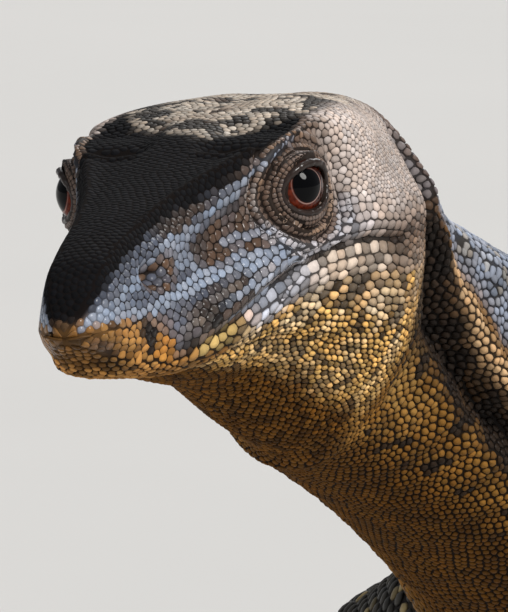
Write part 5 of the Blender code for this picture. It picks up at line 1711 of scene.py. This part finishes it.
def fillPiece(place, size, taken, takenSize, directions=8):
    # domes at those places, each reaching half way to its neighbours and laid on the softened skin
    onSkin = [softTree.find_nearest(p) for p in place.tolist()]
    place, normal = np.array([f[0] for f in onSkin]), unit(np.array([f[1] for f in onSkin]))
    t1 = unit(np.cross(normal, (0.31, 0.17, 0.93)))
    t2 = np.cross(normal, t1)
    everywhere, sizes = np.concatenate((place, taken)), np.concatenate((size, takenSize))
    tree = treeOf(everywhere)
    near = np.array([[f[1] for f in tree.find_n(p, 13)[1:]] for p in place])
    away = everywhere[near] - place[:, None]
    a, b = (away * t1[:, None]).sum(-1), (away * t2[:, None]).sum(-1)
    share = size[:, None] / (size[:, None] + sizes[near])
    angles = np.arctan2(b[:, :1], a[:, :1]) + np.arange(directions) / directions * 2 * math.pi
    reach = halfWay(a, b, share * (away ** 2).sum(-1), angles, np.full((len(size), 1), 9.0))
    reach = np.minimum(reach, fillLook["cap"] * size[:, None]) * 0.96
    rings, levels = [], []
    for radius, level in plainRings:
        turned = t1[:, None] * np.cos(angles)[..., None] + t2[:, None] * np.sin(angles)[..., None]
        spoke = (reach * radius)[..., None] * turned
        onto, _ = nearSkin(softTree, (place[:, None] + spoke).reshape(-1, 3))
        rings.append(onto.reshape(spoke.shape))
        up = level * fillLook["rise"] * size if level > 0 else 0.0 * size - 0.1
        levels.append(np.broadcast_to(up[:, None], reach.shape))
    base = np.concatenate(rings + [place[:, None]], 1)
    height = np.concatenate(levels + [(fillLook["rise"] * size)[:, None]], 1)
    points = base + normal[:, None] * height[..., None]
    raiseTops(points, normal, directions, 0.02 * size)
    tone, gloss, uv, _, _ = paintPlaces(place, sheets)
    chance = np.random.default_rng(31).random((len(place), 1))
    tone = tone * (0.75 + 0.5 * chance)
    each = directions * 2 + 1
    spokes = np.stack((np.cos(angles), np.sin(angles)), -1) * scaleLook["patch"]
    patches = np.concatenate((spokes, spokes * plainRings[1][0], spokes[:, :1] * 0.0), 1)
    return {"points": points.reshape(-1, 3), "faces": repeatFaces(scaleFaces(directions, 2), len(place), each),
            "tone": (tone[:, None] * scaleShades(directions)[None, :, None]).reshape(-1, 3),
            "gloss": np.repeat(gloss, each), "wet": np.repeat(wetness(gloss), each),
            "uv": (uv[:, None] + patches).reshape(-1, 2)}


for label, made in parts:
    splitPieces(label, made)

takenPlaces, takenSizes = [made["base"][:, -1] for _, made in parts], [made["size"] for _, made in parts]
limbRows = {"leg": (3.5, 3.7), "sole": (3.0, 3.2), "toe": (3.1, 2.7)}  # pitch along and gap round, in mm
sheetsPerLimb = len(limbs) // 4
limbCount = 0
for index in range(4):
    own = limbs[index * sheetsPerLimb:(index + 1) * sheetsPerLimb]
    grouped = []
    for sheet in own:
        pitch, gap = limbRows.get(sheet.name.rsplit("_", 1)[-1], limbRows["toe"])
        rows = brickRows(sheet, 1.0, sheet.rows[-1] - 0.8, lambda at: pitch, lambda at: gap)
        made = dressSheet(sheet, *rows, 8, plainRings)
        if len(made["s"]):
            takenPlaces.append(made["base"][:, -1])
            takenSizes.append(made["size"])
            grouped.append(scalePiece(sheet, made, np.arange(len(made["s"]))))
            limbCount += len(made["s"])
    joinParts("scales_" + own[0].name.rsplit("_", 1)[0], grouped, "leg_skin")
print("limb scales", limbCount)
takenPlaces, takenSizes = np.concatenate(takenPlaces), np.concatenate(takenSizes)
fillPlaces, fillSizes = fillScales(takenPlaces, takenSizes)
joinParts("scales_joins", [fillPiece(fillPlaces, fillSizes, takenPlaces, takenSizes)], "leg_skin")
print("scales between", len(fillPlaces))

for name, flip in (("eyeball_left", 1.0), ("eyeball_right", -1.0)):
    buildEye(name, flip)
for name, tip, line in clawPlaces:
    buildClaw(name, tip, line)
print("eyes and claws")


stageLook = {"floor": (0.60, 0.59, 0.575), "grain": (0.57, 0.565, 0.55), "sky": (0.93, 0.95, 1.0), "skyLight": 0.22}


def buildFloor():
    mesh = bpy.data.meshes.new("studioFloor")
    mesh.from_pydata([(-40, -40, 0), (40, -40, 0), (40, 40, 0), (-40, 40, 0)], [], [(0, 1, 2, 3)])
    floor = newObject("studioFloor", mesh)
    material, tree, shader = blank("studio_floor")
    place = add(tree, "ShaderNodeTexCoord", output=3)
    grain = noise(tree, place, 6.0, 2.0)
    tints = {0: grain, 6: (*stageLook["floor"], 1.0), 7: (*stageLook["grain"], 1.0)}
    colour = add(tree, "ShaderNodeMix", {"data_type": "RGBA"}, tints, 2)
    feed(tree, shader, {"Base Color": colour}, {"Roughness": 0.85})
    mesh.materials.append(material)


# soft lights from far off, so that head and tail are lit alike; all shine from their place to the head
lightAim = Vector((0.03, -0.78, 0.19))
lights = {
    "key": {"where": (1.75, -0.85, 1.75), "spread": 22.0, "strength": 3.4, "colour": (1.0, 0.98, 0.95)},
    "fill": {"where": (-0.9, -2.9, 1.3), "spread": 38.0, "strength": 0.42, "colour": (0.90, 0.95, 1.0)},
    "rim": {"where": (-0.8, 2.6, 2.4), "spread": 36.0, "strength": 1.1, "colour": (1.0, 1.0, 1.0)},
}


def addLight(name, where, spread, strength, colour):
    data = bpy.data.lights.new(name, "SUN")
    data.angle, data.energy, data.color = math.radians(spread), strength, colour
    light = newObject(name, data)
    light.location = where
    light.rotation_euler = (lightAim - Vector(where)).to_track_quat("-Z", "Y").to_euler()


# turn, tilt and roll of the camera, its distance and target in mm, and its focal length in picture dots
view = {"turn": math.radians(31.4), "tilt": math.radians(8.4), "roll": math.radians(0.8), "reach": 1500.0,
        "target": np.array((47.3, -240.0, 194.3)), "focal": 9141.0, "pictureHeight": 612.0, "sensor": 36.0}


def buildCamera():
    level = math.cos(view["tilt"])
    away = np.array((math.sin(view["turn"]) * level, -math.cos(view["turn"]) * level, math.sin(view["tilt"])))
    right = unit(np.cross(-away, (0.0, 0.0, 1.0)))
    up = np.cross(right, -away)
    tiltedRight = right * math.cos(view["roll"]) + up * math.sin(view["roll"])
    tiltedUp = np.cross(away, tiltedRight)
    place = (view["target"] + moved + away * view["reach"]) * mm
    data = bpy.data.cameras.new("camera")
    data.sensor_width, data.sensor_fit = view["sensor"], "AUTO"
    data.lens = view["focal"] / view["pictureHeight"] * view["sensor"]
    data.clip_end = 200.0
    camera = newObject("camera", data)
    camera.matrix_world = Matrix((
        (tiltedRight[0], tiltedUp[0], away[0], place[0]), (tiltedRight[1], tiltedUp[1], away[1], place[1]),
        (tiltedRight[2], tiltedUp[2], away[2], place[2]), (0, 0, 0, 1)))
    bpy.context.scene.camera = camera


buildFloor()
for name, light in lights.items():
    addLight(name, **light)
world = bpy.data.worlds.new("studio")
bpy.context.scene.world = world
world.use_nodes = True
sky = world.node_tree.nodes["Background"]
sky.inputs["Color"].default_value = (*stageLook["sky"], 1.0)
sky.inputs["Strength"].default_value = stageLook["skyLight"]
bpy.context.scene.view_settings.view_transform = "Standard"
buildCamera()
print("stage")
